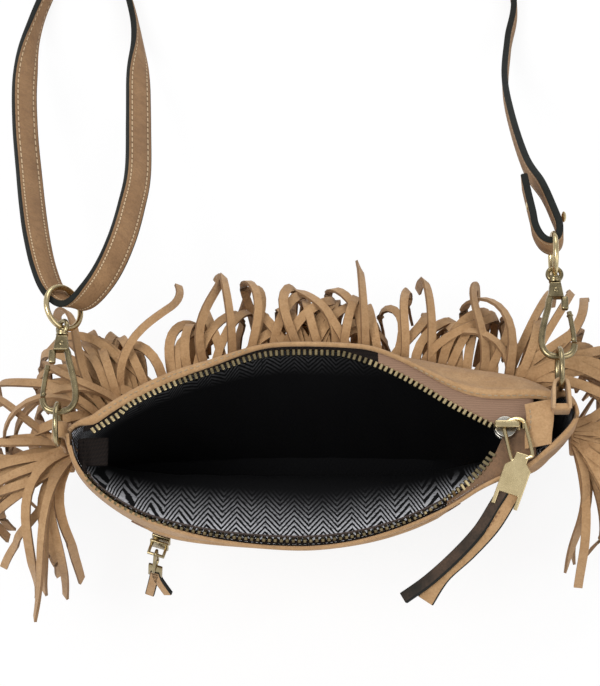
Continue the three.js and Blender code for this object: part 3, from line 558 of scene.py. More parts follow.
# A point of the shell: side 1 is the fringed front, u runs along the bag and v up it.
# The near side bulges at its pocket and draws back under the mouth towards the closed end.
def bodyPoint(side, u, v, inset=0.0):
    lower = min(1, v / body["bulge"])
    halfWidth = body["baseHalfWidth"] + (body["halfWidth"] - body["baseHalfWidth"]) * lower**0.7 - inset
    x = math.sin((u - 0.5) * math.pi) * halfWidth
    full = fullness(side, x, halfWidth)
    ratio = min(1, abs(x / halfWidth))
    bottom = body["baseHalfDepth"] * math.sqrt(1 - ratio**4)
    least = 0.4 - 0.2 * inset
    share = lower
    if side < 0:
        bottom *= 1 - drawn["base"] * ease((x - drawn["x"]) / drawn["span"])
        least -= drawn["least"] * ease((x - drawn["leastX"]) / drawn["leastSpan"]) * (1 - v) ** 2
        pocketed = bump["rise"] * math.exp(-(((x - bump["x"]) / bump["span"]) ** 2))
        share = lower * pocketed + v ** (1.3 + 0.5 * ease((x - 40) / 50)) * (1 - pocketed)
    depth = bottom + ((body["far"] if side > 0 else body["near"]) * full - bottom) * share**0.9
    if side > 0 and v > body["bulge"]:
        depth -= rimTurn(x) * ease((v - body["bulge"]) / (1 - body["bulge"]))
    depth = max(depth - inset * math.sqrt(1 - ratio**2), least)
    folds = body["folds"] * math.sin(x * 0.11 + side) * math.sin(v * 7 + x * 0.03) * (1 - v) * v * 4
    rounded = body["lowerRound"] * max(0, (ratio - 0.55) / 0.45) ** 2 * (1 - v) ** 2
    height = body["corner"] - body["dip"] * full
    z = body["floor"] + v * (height - body["floor"]) + rounded
    return Vector((x, mouthMiddle(x, lower) + side * (depth + folds), z))


def shareOf(x, halfWidth=131):
    return math.asin(min(1, max(-1, x / halfWidth))) / math.pi + 0.5


def edgeAt(side, x, drop=0.0, inset=0.0):
    point = bodyPoint(side, shareOf(x), 1, inset)
    point.z -= drop
    return point


print("leather shell")
shell = {"across": 96, "up": 28, "baseThick": 1.4, "baseAcross": 60, "baseAlong": 14, "baseSink": 1.7}
rim = {
    "reach": 130.4,
    "steps": 150,
    "drop": 0.9,
    "far": {"thick": 3.6, "wide": 2.6, "out": 0.7},
    "near": {"thick": 3.0, "wide": 1.6, "out": -0.9},
}
rimThread = {"long": 2.0, "pitch": 3.1, "steps": 300}
rimRows = [
    {"from": 46, "to": 119, "at": Vector((0, -1.2, 1.2))},
    {"from": -118, "to": -40, "at": Vector((0, 0.4, 1.0))},
]


def addShell():
    for side, name, node in ((1, "frontShell", "front_panel"), (-1, "backShell", "back_panel")):
        bm = bmesh.new()
        addGrid(bm, shell["across"], shell["up"], lambda u, v: bodyPoint(side, u, v**0.8))
        if side > 0:
            bmesh.ops.reverse_faces(bm, faces=bm.faces)
        addPiece(name, bm, [suede], [node], thick=body["skin"], offset=1)

    def basePlace(u, v):
        point = bodyPoint(-1, u, 0).lerp(bodyPoint(1, u, 0), v)
        point.z -= shell["baseSink"] * min(1, 12 * min(v, 1 - v)) * min(1, 20 * min(u, 1 - u))
        return point

    bm = bmesh.new()
    addGrid(bm, shell["baseAcross"], shell["baseAlong"], basePlace)
    addPiece("baseShell", bm, [suede], ["base_panel"], thick=shell["baseThick"], offset=1)


# The top edge of each side is folded over: a flattened roll that swells towards the front's ends
def addRims():
    bm = bmesh.new()
    reach, steps = rim["reach"], rim["steps"]
    for side, form in ((1, rim["far"]), (-1, rim["near"])):
        shift = Vector((0, form["out"], -rim["drop"]))

        def sizeAt(share):
            x = -reach + 2 * reach * share
            if side < 0:
                return form["wide"] + 1.0 * ease((x - 60) / 40), form["thick"]
            wide = form["wide"] + 2.6 * ease((-25 - x) / 60) + 3.0 * ease((x - 45) / 40)
            return wide * (0.35 + 0.65 * ease((131 - abs(x)) / 12)), form["thick"]

        path = [edgeAt(side, -reach + 2 * reach * i / steps) + shift for i in range(steps + 1)]
        addSweep(bm, path, lambda i: (0, 1, 0), ovalOutline(0.5, 0.5, 12), sizeAt=sizeAt)
    addPiece("rims", bm, [suede])
    bm = bmesh.new()
    steps = rimThread["steps"]
    for row in rimRows:
        fromX, long = row["from"], row["to"] - row["from"]
        path = [edgeAt(1, fromX + long * i / steps) + row["at"] for i in range(steps + 1)]
        addStitches(bm, path, rimThread["long"], rimThread["pitch"])
    addPiece("rimStitches", bm, [threadPale])


addShell()
addRims()

print("lining")
lining = {
    "across": 90,
    "up": 40,
    "inset": 1.3,
    "topDrop": 1.2,
    "sagFrom": 0.56,
    "sagLeast": 0.16,
    "puff": 1.4,
    "heel": 16,
    "shut": 0.06,
}
zigzagSet = {
    "stripe": 1.6,
    "pitch": 15.0,
    "slope": 0.62,
    "dark": (0.003, 0.003, 0.0035, 1),
    "pale": (0.6, 0.6, 0.62, 1),
    "relief": 0.3 * mm,
}


# Zigzag stripes with painted light and shade: they show near the mouth and are painted black lower down and on
# most of the far wall
def makeZigzag():
    material = bpy.data.materials.new("zigzagLining")
    tree = emptyTree(material)
    flat = addNode(tree, "SeparateXYZ", {0: addNode(tree, "UVMap").outputs[0]}).outputs
    where = addNode(tree, "TexCoord").outputs["Object"]
    level = addNode(tree, "SeparateXYZ", {0: where}).outputs
    jitter = addNode(tree, "TexNoise", {"Scale": 420, "Vector": where}).outputs["Fac"]
    wave = compute(tree, "PINGPONG", flat["X"], zigzagSet["pitch"] / 2)
    wave = compute(tree, "MULTIPLY", wave, zigzagSet["slope"])
    height = compute(tree, "MULTIPLY_ADD", jitter, 0.5, compute(tree, "ADD", flat["Y"], wave))
    turns = compute(tree, "MULTIPLY", height, 2 * math.pi / zigzagSet["stripe"])
    stripe = ramp(tree, compute(tree, "SINE", turns), -0.15, 0.25)
    worn = compute(tree, "MULTIPLY", stripe, ramp(tree, jitter, 0.1, 0.5))
    # Painted light mask: pale stripes near the mouth on the near wall and, dimmer, high on the left; painted
    # shade everywhere else
    aside = compute(tree, "ABSOLUTE", level["X"])
    forward = compute(tree, "MULTIPLY_ADD", aside, -0.32, level["Y"])
    top = ramp(tree, level["Z"], 0.094, 0.136)
    near = compute(tree, "MULTIPLY", ramp(tree, forward, -0.03, -0.062), top)
    left = compute(tree, "MULTIPLY", ramp(tree, level["X"], 0.05, -0.04), 0.3)
    high = compute(tree, "MULTIPLY", left, ramp(tree, level["Z"], 0.1, 0.135))
    lit = compute(tree, "MAXIMUM", compute(tree, "POWER", near, 1.5), high)
    colour = mixColour(tree, compute(tree, "MULTIPLY", worn, lit), zigzagSet["dark"], zigzagSet["pale"])
    relief = addNode(tree, "Bump", {"Strength": 0.35, "Distance": zigzagSet["relief"], "Height": stripe})
    skin = addNode(tree, "BsdfPrincipled", {
        "Base Color": colour,
        "Roughness": 0.85,
        "Specular IOR Level": 0.15,
        "Normal": relief.outputs[0],
    })
    addNode(tree, "OutputMaterial", {"Surface": skin.outputs[0]})
    return material


# The near wall of the loose inner bag sags into the mouth, and the far wall stays against the leather
def addLining():
    bm = bmesh.new()
    sagFrom, sagLeast = lining["sagFrom"], lining["sagLeast"]
    for side in (1, -1):

        def place(u, v):
            level = 0.02 + 0.98 * v
            point = bodyPoint(side, 0.012 + 0.976 * u, level, lining["inset"])
            middle = mouthMiddle(point.x, min(1, level / body["bulge"]))
            depth = room = side * (point.y - middle)
            if side < 0:
                raised = max(0, (level - sagFrom) / (1 - sagFrom)) ** 1.05
                depth *= min(1, sagLeast + (1 - sagLeast) * raised)
            shut = min(1, level / lining["shut"])
            heel = lining["heel"] * ease((point.x - 55) / 40) * (1 - level) ** 2
            puff = lining["puff"] * math.sin(point.x * 0.13 + side * 2 + 5 * level)
            puff *= (1 - level) * min(1, level * 5)
            inner = max(0.2, depth - abs(puff)) if room > 0.2 else room
            point.y = middle + heel * (1 - shut) + side * inner * shut
            point.z -= lining["topDrop"] * v
            return point

        def lay(u, v):
            point = place(u, v)
            return point.x + 300, (point.z * 0.5 - side * point.y * 0.85) + 200

        faces = addGrid(bm, lining["across"], lining["up"], place, lay=lay)
        if side > 0:
            bmesh.ops.reverse_faces(bm, faces=faces)
    bmesh.ops.remove_doubles(bm, verts=bm.verts, dist=0.5 * mm)
    addPiece("liningBag", bm, [zigzag], ["lining"])


zigzag = makeZigzag()
addLining()

print("mouth zip")
zipSet = {
    "leftX": -122,
    "rightX": 88.4,
    "meetX": 92,
    "pitch": 3.0,
    "tooth": (3.4, 1.75, 1.7),
    "nearStretch": 1.2,
    "drop": 1.3,
    "farInset": 3.1,
    "nearInset": 0.9,
    "fine": 900,
    "shaded": (-78, 25),
}
tape = {"from": -124, "long": 234, "thick": 0.6, "sag": 0.5, "across": 90, "up": 4}
piping = {"from": -121, "long": 205, "steps": 120, "wire": 0.55, "at": Vector((0, 1.7, -0.3))}


def rowPoint(side, x):
    share = (-12 - x) / 112 if x < -12 else (x + 12) / 105
    arch = max(0, math.cos(math.pi / 2 * min(1, share)))
    opened = 53 * arch if side > 0 else 54 * arch ** (0.3 if x < -12 else 0.55)
    middle = mouthMiddle(x, 1)
    reach = side * (edgeAt(side, x).y - middle)
    if side > 0 and x < 20:  # the teeth lie close under the rolled edge here
        opened = max(opened, (reach - 2.2) * ease((20 - x) / 60) * ease((x + 122) / 22))
    room = reach - (zipSet["farInset"] if side > 0 else zipSet["nearInset"])
    shared = (rimHeight(side, x) + rimHeight(-side, x)) / 2
    height = rimHeight(side, x) + (shared - rimHeight(side, x)) * ease((x - 60) / 30) - zipSet["drop"]
    return Vector((x, middle + side * max(1.4, min(opened, room)), height))


def evenRow(side, fromX, toX, pitch):
    steps = zipSet["fine"]
    fine = [rowPoint(side, fromX + (toX - fromX) * i / steps) for i in range(steps + 1)]
    out, travelled = [], 0
    for before, after in zip(fine, fine[1:]):
        travelled += (after - before).length
        if travelled >= pitch:
            travelled -= pitch
            out.append((after, (after - before).normalized()))
    return out


# The near row is rolled outwards except by the slider, and the middle of the far row takes the darker brass as
# painted shade
def addTeeth():
    long, wide, tall = zipSet["tooth"]
    shadedFrom, shadedTo = zipSet["shaded"]
    rows = ((1, "farTeeth", "front_teeth", brass), (-1, "nearTeeth", "back_teeth", agedBrassAndShade))
    for side, name, node, metal in rows:
        bm = bmesh.new()
        size = (long * (1 if side > 0 else zipSet["nearStretch"]), wide, tall)
        for at, along in evenRow(side, zipSet["leftX"], zipSet["rightX"], zipSet["pitch"]):
            into = -(Vector((-along.y, along.x, 0)).normalized() * side)
            if side < 0:
                roll = math.pi * 0.72 * (1 - ease((at.x - 45) / 40))
                into = (into * math.cos(roll) + Vector((0, 0, 1)) * math.sin(roll)).normalized()
            # teeth in this span take the darker brass: painted shade
            shaded = side > 0 and shadedFrom < at.x < shadedTo
            turn = frameOf(into, along, into.cross(along))
            addBlock(bm, size, at + into * (long / 2 - 0.9), turn, segments=1, material=1 if shaded else 0)
        addPiece(name, bm, [metal, agedBrassAndShade], [node])


def tapePaint(side, u):
    if side > 0:
        return 0 if u > 0.66 else 1
    # towards the closed end the near tape takes the darker suede: leather with painted shade
    return 2 if u > 0.8 else 1


def addTapes():
    meetX = zipSet["meetX"]
    for side, name, node in ((1, "farTape", "front_mouth_tape"), (-1, "nearTape", "back_mouth_tape")):
        bm = bmesh.new()

        def place(u, v):
            x = tape["from"] + tape["long"] * u
            inner = rowPoint(side, x)
            if x >= meetX:
                inner = Vector((x, mouthMiddle(x, 1) + side * 0.9, rowPoint(side, meetX).z))
            inner.y += side * 0.6
            point = inner.lerp(edgeAt(side, x, 1.2, 0.3), v)
            point.z -= tape["sag"] * math.sin(v * math.pi)
            return point

        faces = addGrid(bm, tape["across"], tape["up"], place, paint=lambda u, v: tapePaint(side, u))
        if side > 0:
            bmesh.ops.reverse_faces(bm, faces=faces)
        cloths = [zipCloth, blackCloth, shadedSuede]
        addPiece(name, bm, cloths, [node], thick=tape["thick"], offset=0)

    bm = bmesh.new()
    spots = [piping["from"] + piping["long"] * i / piping["steps"] for i in range(piping["steps"] + 1)]
    path = [rowPoint(-1, x) + piping["at"] for x in spots]
    addWire(bm, path, (0, 1, 0), piping["wire"], 8)
    addPiece("nearPiping", bm, [darkPiping])

    def endPlace(u, v):
        sag = 3.5 * u * u + 2.2 * v + 1.2 * math.sin(v * math.pi)
        return Vector((-127 + 15 * u, -22.5 - 15 * v + 2 * u, 140.5 - sag))

    bm = bmesh.new()
    addGrid(bm, 10, 10, endPlace)
    addPiece("tapeEnds", bm, [blackCloth], thick=1.2)


addTeeth()
addTapes()

print("slider and pull")
bar = Vector((95, -17, 147.53))
endTab = {"from": 104.6, "wide": 13.8, "top": 9.5, "long": 24, "thick": 1.6, "wave": 0.8, "curl": 1.2}
endTab["above"] = 0.7
sliderPlate = {"lifts": (-7.1, -3.9), "lower": 6.2, "upper": 5.7, "thick": 1.3, "shift": -0.6}
closed = {"count": 5, "from": 101.6, "pitch": 2.6, "size": (1.7, 5, 1.8), "drop": 0.2}
link = {
    "arm": Vector((0.17, -1, 0.02)).normalized(),
    "side": Vector((0.94, 0.1, 0.33)).normalized(),
    "centre": bar + Vector((3.6, 0, 0.2)),
    "legs": 5.6,
    "wire": 1.0,
    "long": 20,
    "over": -2.9,
    "arch": 4.8,
}
plate = {
    "neck": 3.4,
    "half": 6.9,
    "leg": 4.9,
    "shoulder": 6.4,
    "slot": 20.5,
    "long": 27.5,
    "thick": 1.5,
    "end": Vector((91, -63, 142.2)),
}
tails = [
    {"shift": -4.0, "wide": 6.0, "lean": (0.75, -0.6, 0.2), "end": (46, -99, 117), "face": 2},
    {"shift": 2.6, "wide": 8.8, "lean": (0.75, -0.6, -0.05), "end": (49.4, -103.5, 117), "face": 0},
]
tailThick = 3.4


# A leather tab lies over the closed end of the zip
def addEndTab():
    def place(u, v):
        x = endTab["from"] + endTab["wide"] * u
        top = max(rimHeight(1, x), rimHeight(-1, x)) + endTab["above"]
        y = mouthMiddle(x, 1) + endTab["top"] - endTab["long"] * v
        curl = endTab["curl"] * (math.sin(u * math.pi) * math.sin(v * math.pi) - ease((v - 0.8) * 5))
        return Vector((x + endTab["wave"] * math.sin(v * 5), y, top + curl))

    bm = bmesh.new()
    faces = addGrid(bm, 10, 16, place)
    bmesh.ops.reverse_faces(bm, faces=faces)
    addPiece("zipEndTab", bm, [suede], ["zip_end_tab"], thick=endTab["thick"], offset=1, bevel=0.3)
    bm = bmesh.new()
    row = [place(0.14, i / 120) + Vector((0, 0, endTab["thick"] + 0.15)) for i in range(8, 112)]
    addStitches(bm, row, 2.0, 3.0)
    addPiece("endTabStitches", bm, [threadPale])


# Two round plates joined by a post, and the bar that holds the link
def addSlider():
    bm = bmesh.new()
    for lift in sliderPlate["lifts"]:
        made = bmesh.ops.create_cone(
            bm,
            cap_ends=True,
            segments=40,
            radius1=sliderPlate["lower"] * mm,
            radius2=sliderPlate["upper"] * mm,
            depth=sliderPlate["thick"] * mm,
            matrix=Matrix.Translation((bar + Vector((sliderPlate["shift"], 0, lift))) * mm),
        )
        rims = [edge for edge in edgesOf(made["verts"]) if edge.calc_face_angle(0) > 0.8]
        softenEdges(bm, rims, 0.35, 3)
    for face in bm.faces:
        face.smooth = True
    addBlock(bm, (3, 2.4, 4), bar + Vector((-4.4, 0, -5)))
    addBlock(bm, (1.5, 3.4, 4.2), bar + Vector((-5.6, 0, -1.8)), bevel=0.4, material=1)
    addBlock(bm, (1.2, 3.4, 1.6), bar + Vector((5.7, 0, -0.3)), bevel=0.4, material=1)
    addBlock(bm, (12.6, 3.8, 1.2), bar + Vector((0, 0, 0.35)), bevel=0.5, segments=3, material=1)
    addPiece("mainSlider", bm, [steel, brass], ["main_slider"], smooth=30)
    bm = bmesh.new()
    for i in range(closed["count"]):
        x = closed["from"] + closed["pitch"] * i
        height = rowPoint(1, zipSet["meetX"]).z - closed["drop"]
        addBlock(bm, closed["size"], (x, mouthMiddle(x, 1), height), segments=1)
    addPiece("closedTeeth", bm, [brass], ["closed_chain"])


# The plate hangs from the link: a neck, sloped shoulders and two legs beside the leather
def addPlate(bm, start, across, down):
    neck, half, leg = plate["neck"], plate["half"], plate["leg"]
    right = [(neck - 0.1, -1.5), (neck + 0.1, 3), (half, plate["shoulder"]), (half, plate["long"])]
    right += [(leg, plate["long"]), (leg, plate["slot"])]
    outline = right + [(-a, b) for a, b in reversed(right)]
    base = bm.faces.new([bm.verts.new((start + across * a + down * b) * mm) for a, b in outline])
    made = bmesh.ops.extrude_face_region(bm, geom=[base])
    lift = across.cross(down).normalized()
    lift = lift if lift.z > 0 else -lift
    moved = [item for item in made["geom"] if isinstance(item, bmesh.types.BMVert)]
    bmesh.ops.translate(bm, verts=moved, vec=lift * plate["thick"] * mm)
    faces = list(dict.fromkeys([face for vert in moved for face in vert.link_faces] + [base]))
    bmesh.ops.recalc_face_normals(bm, faces=faces)
    edges = dict.fromkeys(edge for face in faces for edge in face.edges)
    softenEdges(bm, [edge for edge in edges if edge.calc_face_angle(0) > 1], 0.3)


# Two folded tails: one shows its dark underside and the other its stitched tan face
def addTails(start, down):
    bm = bmesh.new()
    stitches = bmesh.new()
    for tail in tails:
        slip = Vector((tail["shift"], 0.4 * tail["shift"], 0))
        points = [
            start + down * 17 + Vector((tail["shift"] * 0.7, 0, -1.2)),
            start + down * 24 + slip + Vector((-1.5, 0, -2.0)),
            Vector((83, -70.5, 139)) + slip,
            Vector((71, -82, 132)) + slip,
            Vector((58, -92, 124)) + slip * 1.1,
            Vector(tail["end"]) + slip * 1.2,
        ]
        flat = flatOutline(tail["wide"], tailThick, 0.5)
        addSweep(bm, smoothPath(points, 40), lambda i: tail["lean"], flat, paint=paintFlat(tail["face"], 1))
        if tail["face"] == 0:
            row = [p + Vector((-0.8, -0.3, 1.95)) for p in smoothPath(points, 160)[44:112]]
            addStitches(stitches, row, 1.5, 2.4)
    leathers = [suede, suedeDark, rubbedSuede]
    addPiece("mainPullTab", bm, leathers, ["main_pull_tab"], ridesOn="main_pull", smooth=50)
    addPiece("pullTabStitches", stitches, [threadBrown], ridesOn="main_pull")


def addPull():
    arm, side, centre, legs, long = (link[key] for key in ("arm", "side", "centre", "legs", "long"))
    turns = [math.pi * k / 10 for k in range(11)]
    loop = [(link["over"] + link["arch"] * (1 - math.sin(t)), legs * math.cos(t)) for t in turns]
    foot = [(long - 2.2, legs), (long - 0.6, legs * 0.72)]
    loop += [(a, -b) for a, b in foot] + [(long, 0)] + foot[::-1]
    path = smoothPath([centre + arm * a + side * b for a, b in loop], 72, closed=True)
    start = centre + arm * (long - 1.4)
    down = (plate["end"] - start).normalized()
    across = (Vector((1, 0, 0.12)) - down * down.x).normalized()
    bm = bmesh.new()
    addWire(bm, path, arm.cross(side), link["wire"], 10, ring=True)
    addPlate(bm, start, across, down)
    addPiece("mainPullLink", bm, [brass], ["main_puller"], ridesOn="main_pull", smooth=30)
    addTails(start, down)


addEndTab()
addSlider()
addPull()

print("strap")
strap = {"wide": 15.6, "thick": 3.8, "steps": 420, "floor": 6.9, "leftTilt": 49, "tilt": 7}
stitching = {
    "pitch": 4.0,
    "share": 0.68,
    "from": 0.36,
    "half": 0.028,
    "thread": (0.55, 0.4, 0.24, 1),
    "shade": (0.1, 0.05, 0.02, 1),
}
stud = {"size": (6, 6, 2.6), "out": 1.2, "at": ((112.2, 108, 151.5, -1), (128.5, 101, 152, 1))}


# The strap's leather has a stitched groove along each side, drawn on the strap's own map
def makeStitched():
    material = napped("strapLeather", (0.32, 0.18, 0.08), (0.15, 0.075, 0.03), 0.5, 0.5)
    tree = material.node_tree
    kinds = ("GROUP", "BUMP", "BSDF_PRINCIPLED")
    effect, relief, skin = (next(node for node in tree.nodes if node.type == kind) for kind in kinds)
    flat = addNode(tree, "SeparateXYZ", {0: addNode(tree, "UVMap").outputs[0]}).outputs
    across = compute(tree, "FRACT", flat["X"])
    fold = compute(tree, "ABSOLUTE", compute(tree, "SUBTRACT", across, 0.5))
    near = compute(tree, "ABSOLUTE", compute(tree, "SUBTRACT", fold, stitching["from"]))
    groove = ramp(tree, near, 0.07, 0.02)
    beat = compute(tree, "FRACT", compute(tree, "DIVIDE", flat["Y"], stitching["pitch"]))
    inRow = compute(tree, "LESS_THAN", near, stitching["half"])
    stitch = compute(tree, "MULTIPLY", inRow, compute(tree, "LESS_THAN", beat, stitching["share"]))
    pressed = compute(tree, "MULTIPLY", groove, 0.5)
    dim = mixColour(tree, pressed, effect.outputs["Colour"], stitching["shade"])
    raised = compute(tree, "MULTIPLY_ADD", stitch, 2.0, effect.outputs["Height"])
    feed(tree, skin.inputs["Base Color"], mixColour(tree, stitch, dim, stitching["thread"]))
    feed(tree, relief.inputs["Height"], compute(tree, "SUBTRACT", raised, groove))
    return material


# From the folded right end, over the ring and the surface behind the bag, to the loop at the left
def addStrap():
    low = strap["floor"]
    points = [
        (110.5, 126, 145), (112, 114, 147), (113.5, 102, 149.5), (114.5, 93, 151), (117.5, 86, 152),
        (122, 83.6, 152), (126, 86.5, 152), (127.2, 94, 151), (124.6, 106, 148.5), (120.6, 122, 143),
        (115, 150, 121), (112.5, 200, 83), (114, 250, 43), (120, 295, 16), (126, 335, low),
        (112, 385, low), (75, 425, low), (15, 445, low), (-45, 442, low), (-104, 425, low),
        (-150, 390, low), (-173, 345, low), (-181, 300, 22), (-180, 250, 50), (-174, 200, 78),
        (-165.5, 150, 105), (-160, 120, 122), (-155, 96, 135), (-149.5, 75, 143), (-143, 59, 148),
        (-134, 50.5, 150), (-124.5, 54, 151.5), (-115, 69, 150), (-108.5, 92, 142), (-105, 120, 128),
        (-103.5, 150, 112), (-107, 200, 80), (-111, 250, 48), (-114, 290, 22), (-120, 325, low),
        (-131, 362, low), (-137, 384, low),
    ]
    path = smoothPath(points, strap["steps"])

    def acrossAt(i):
        left = ease((-60 - path[i].x) / 50) * ease((path[i].z - low) / 50)
        tilt = math.radians(strap["leftTilt"]) * left + math.radians(strap["tilt"]) * (1 - left)
        return Vector((math.sin(tilt), 0.2 * left, -math.cos(tilt)))

    for i, point in enumerate(path):
        point.z = max(point.z, 0.6 - acrossAt(i).z * strap["wide"] / 2)
    total = sum((after - before).length for before, after in zip(path, path[1:]))
    bm = bmesh.new()
    outline = flatOutline(strap["wide"], strap["thick"], 0.7)
    faces = addSweep(bm, path, acrossAt, outline, paint=paintFlat(0, 1))
    mapLayer = bm.loops.layers.uv.verify()
    for face in faces:
        for loop in face.loops:
            u, v = loop[mapLayer].uv
            loop[mapLayer].uv = (u * 8, v * total)
    addPiece("strapBand", bm, [makeStitched(), suedeDark], ["strap"], smooth=60)
    bm = bmesh.new()
    for x, y, z, way in stud["at"]:
        turn = Vector((way, 0, 0)).to_track_quat("Z", "Y").to_matrix()
        addKnob(bm, (x + way * stud["out"], y, z), stud["size"], turn)
    addPiece("strapStuds", bm, [brass])


addStrap()

print("rings and clasps")
chains = {
    "left": {"at": Vector((-136.8, -10.6, 150)), "flip": -1, "tilt": math.radians(45)},
    "right": {"at": Vector((123, 19.4, 152)), "flip": 1, "tilt": math.radians(90)},
}
clasp = {"half": 8.6, "wire": 1.75, "gateWire": 1.35, "neck": (8.4, 8.6, 5.2), "neckY": 37.6, "eye": 47.2}
strapRing = {"beyond": 11.4, "radius": 11.5, "wire": 1.5, "steps": 64, "sides": 14}
linkRing = {"y": -7.4, "radius": 10.5, "wire": 1.4, "steps": 56, "sides": 12}


# The hook: a bow of wire with a neck, the gate's stop and a rivet
def addHook(name, world, flip):
    half = clasp["half"]
    bow = [
        (half - 0.2, 6.4), (half - 1.0, 3.2), (half - 3.4, 0.6), (0, -0.6), (3.4 - half, 0.6),
        (0.6 - half, 4.2), (-half, 9), (0.9 - half, 15), (2.6 - half, 22), (4.3 - half, 28),
        (-3.6, 32), (-2.4, 35),
    ]
    path = smoothPath([world(x, y) for x, y in bow], 72)
    middle = world(0, clasp["neckY"])
    bm = bmesh.new()
    addWire(bm, path, (0, 0, 1), clasp["wire"], 12)
    neck = bmesh.ops.create_cube(bm, size=1, matrix=boxMatrix(clasp["neck"], middle))
    for vert in neck["verts"]:  # narrower at the swivel
        if vert.co.y > middle.y * mm:
            vert.co.x += (middle.x * mm - vert.co.x) * 0.3
    softenEdges(bm, edgesOf(neck["verts"]), 0.9, 3)
    addBlock(bm, (3.6, 7.5, 3.4), world(4.6, 30.2), bevel=0.9, segments=3)
    addKnob(bm, world(0, 37.2, 2.6 * flip), (3, 3, 1.2))
    rides = name + "_clasp"
    addPiece(name + "Clasp", bm, [agedBrassAndShade], [name + "_hook"], ridesOn=rides, smooth=50)


def addClasp(name, at, flip, tilt):
    def world(x, y, z=0):
        return at + Vector((x * flip, y, z * flip))

    eye = clasp["eye"]
    bm = bmesh.new()
    normal = (math.sin(tilt), 0, math.cos(tilt))
    centre = world(0, eye + strapRing["beyond"])
    addRing(bm, centre, normal, *(strapRing[key] for key in ("radius", "wire", "steps", "sides")))
    addPiece(name + "ORing", bm, [brass], [name + "_o_ring"])
    bm = bmesh.new()
    centre = world(0, linkRing["y"])
    addRing(bm, centre, (1, 0, 0), *(linkRing[key] for key in ("radius", "wire", "steps", "sides")))
    addPiece(name + "LinkRing", bm, [agedBrassAndShade], [name + "_link_ring"])

    addHook(name, world, flip)

    bm = bmesh.new()
    gate = smoothPath([world(6.6, 25.2), world(7.5, 19), world(8.2, 12), world(8.4, 7.6)], 16)
    addWire(bm, gate, (0, 0, 1), clasp["gateWire"], 10)
    addRing(bm, world(6.9, 23), (0.12 * flip, -1, 0), 1.5, 0.35, steps=16, sides=6)
    addKnob(bm, world(8.1, 9.2), (3.1, 2.4, 3.1), segments=12)
    addPiece(name + "Gate", bm, [agedBrassAndShade], [name + "_gate"], ridesOn=name + "_gate_arm")

    bm = bmesh.new()
    addKnob(bm, world(0, eye - 2.6), (6.4, 5.2, 6.4), segments=20)
    addRing(bm, world(0, 42.9), (0, 1, 0), 2.4, 0.9, steps=24, sides=8)
    addRing(bm, world(0, eye), (math.cos(tilt), 0, -math.sin(tilt)), 3.6, 1.25, steps=32, sides=10)
    addPiece(name + "Swivel", bm, [agedBrassAndShade], [name + "_swivel_eye"])


for name, chain in chains.items():
    addClasp(name, **chain)

print("corner loops")
cornerLoops = {
    "left": {
        "eye": Vector((-136.8, -18, 139.3)),
        "across": (0, 1, 0),
        "thick": 1.7,
        "points": (
            (3.4, 0, -20), (3.5, 0, -10), (3.4, 0, 0), (2.4, 0, 2.4), (0, 0, 3.4), (-2.4, 0, 2.4),
            (-3.4, 0, 0), (-2.9, 0, -4), (-0.6, 0, -9), (1.1, 0, -13), (1.4, 0, -20),
        ),
    },
    "right": {
        "eye": Vector((123, 1.5, 152)),
        "across": (0, 0, 1),
        "thick": 1.8,
        "points": (
            (4.2, -11, -2), (4.0, -6, -0.5), (3.6, 0, 0), (2.6, 2.4, 0), (0, 3.5, 0), (-2.6, 2.4, 0),
            (-3.6, 0, 0), (-4.0, -6, -0.5), (-4.2, -11, -2),
        ),
        "root": {"size": (9.4, 3.4, 9), "at": (123, -9.4, 149.4)},
    },
}
loopWide = 9


def addLoops():
    for name, loop in cornerLoops.items():
        bm = bmesh.new()
        path = smoothPath([loop["eye"] + Vector(p) for p in loop["points"]], 60)
        outline = flatOutline(loopWide, loop["thick"], 0.4)
        addSweep(bm, path, lambda i: loop["across"], outline, paint=paintFlat(0, 1))
        if "root" in loop:
            addBlock(bm, **loop["root"], bevel=0.9, segments=3)
        addPiece(name + "Loop", bm, [suede, suedePale], [name + "_corner_loop"], smooth=60)


addLoops()

print("fringe")
fringe = {
    "wide": 4.7,
    "thick": 1.5,
    "steps": 20,
    "stand": 3.2,
    "leftMost": -187,
    "rightMost": 178,
    "lowest": 1.6,
    "bandThick": 1.3,
}
tiers = {
    "top": {
        "count": 76,
        "from": -118,
        "to": 114,
        "level": 0.79,
        "rise": (0.3, 1.05),
        "long": (90, 125),
        "seed": 3,
        "fan": 34,
    },
    "low": {
        "count": 44,
        "from": -112,
        "to": 110,
        "level": 0.43,
        "rise": (-0.2, 0.3),
        "long": (80, 100),
        "seed": 211,
        "fan": 0,
    },
}
fan = {"seed": 700, "root": 92, "long": 105}


def between(ends, share):
    return ends[0] + (ends[1] - ends[0]) * share


def chances(seed):
    return (chance(seed + k) for k in range(5))


def fringedPoint(x, level, out):
    return bodyPoint(1, shareOf(x, 129), level) + Vector((0, out, 0))


# How far out the fringed side stands at this place
def frontAt(x, z):
    v = min(1, max(0, (z - body["floor"]) / 140))
    return bodyPoint(1, shareOf(x), v).y + fringe["stand"]


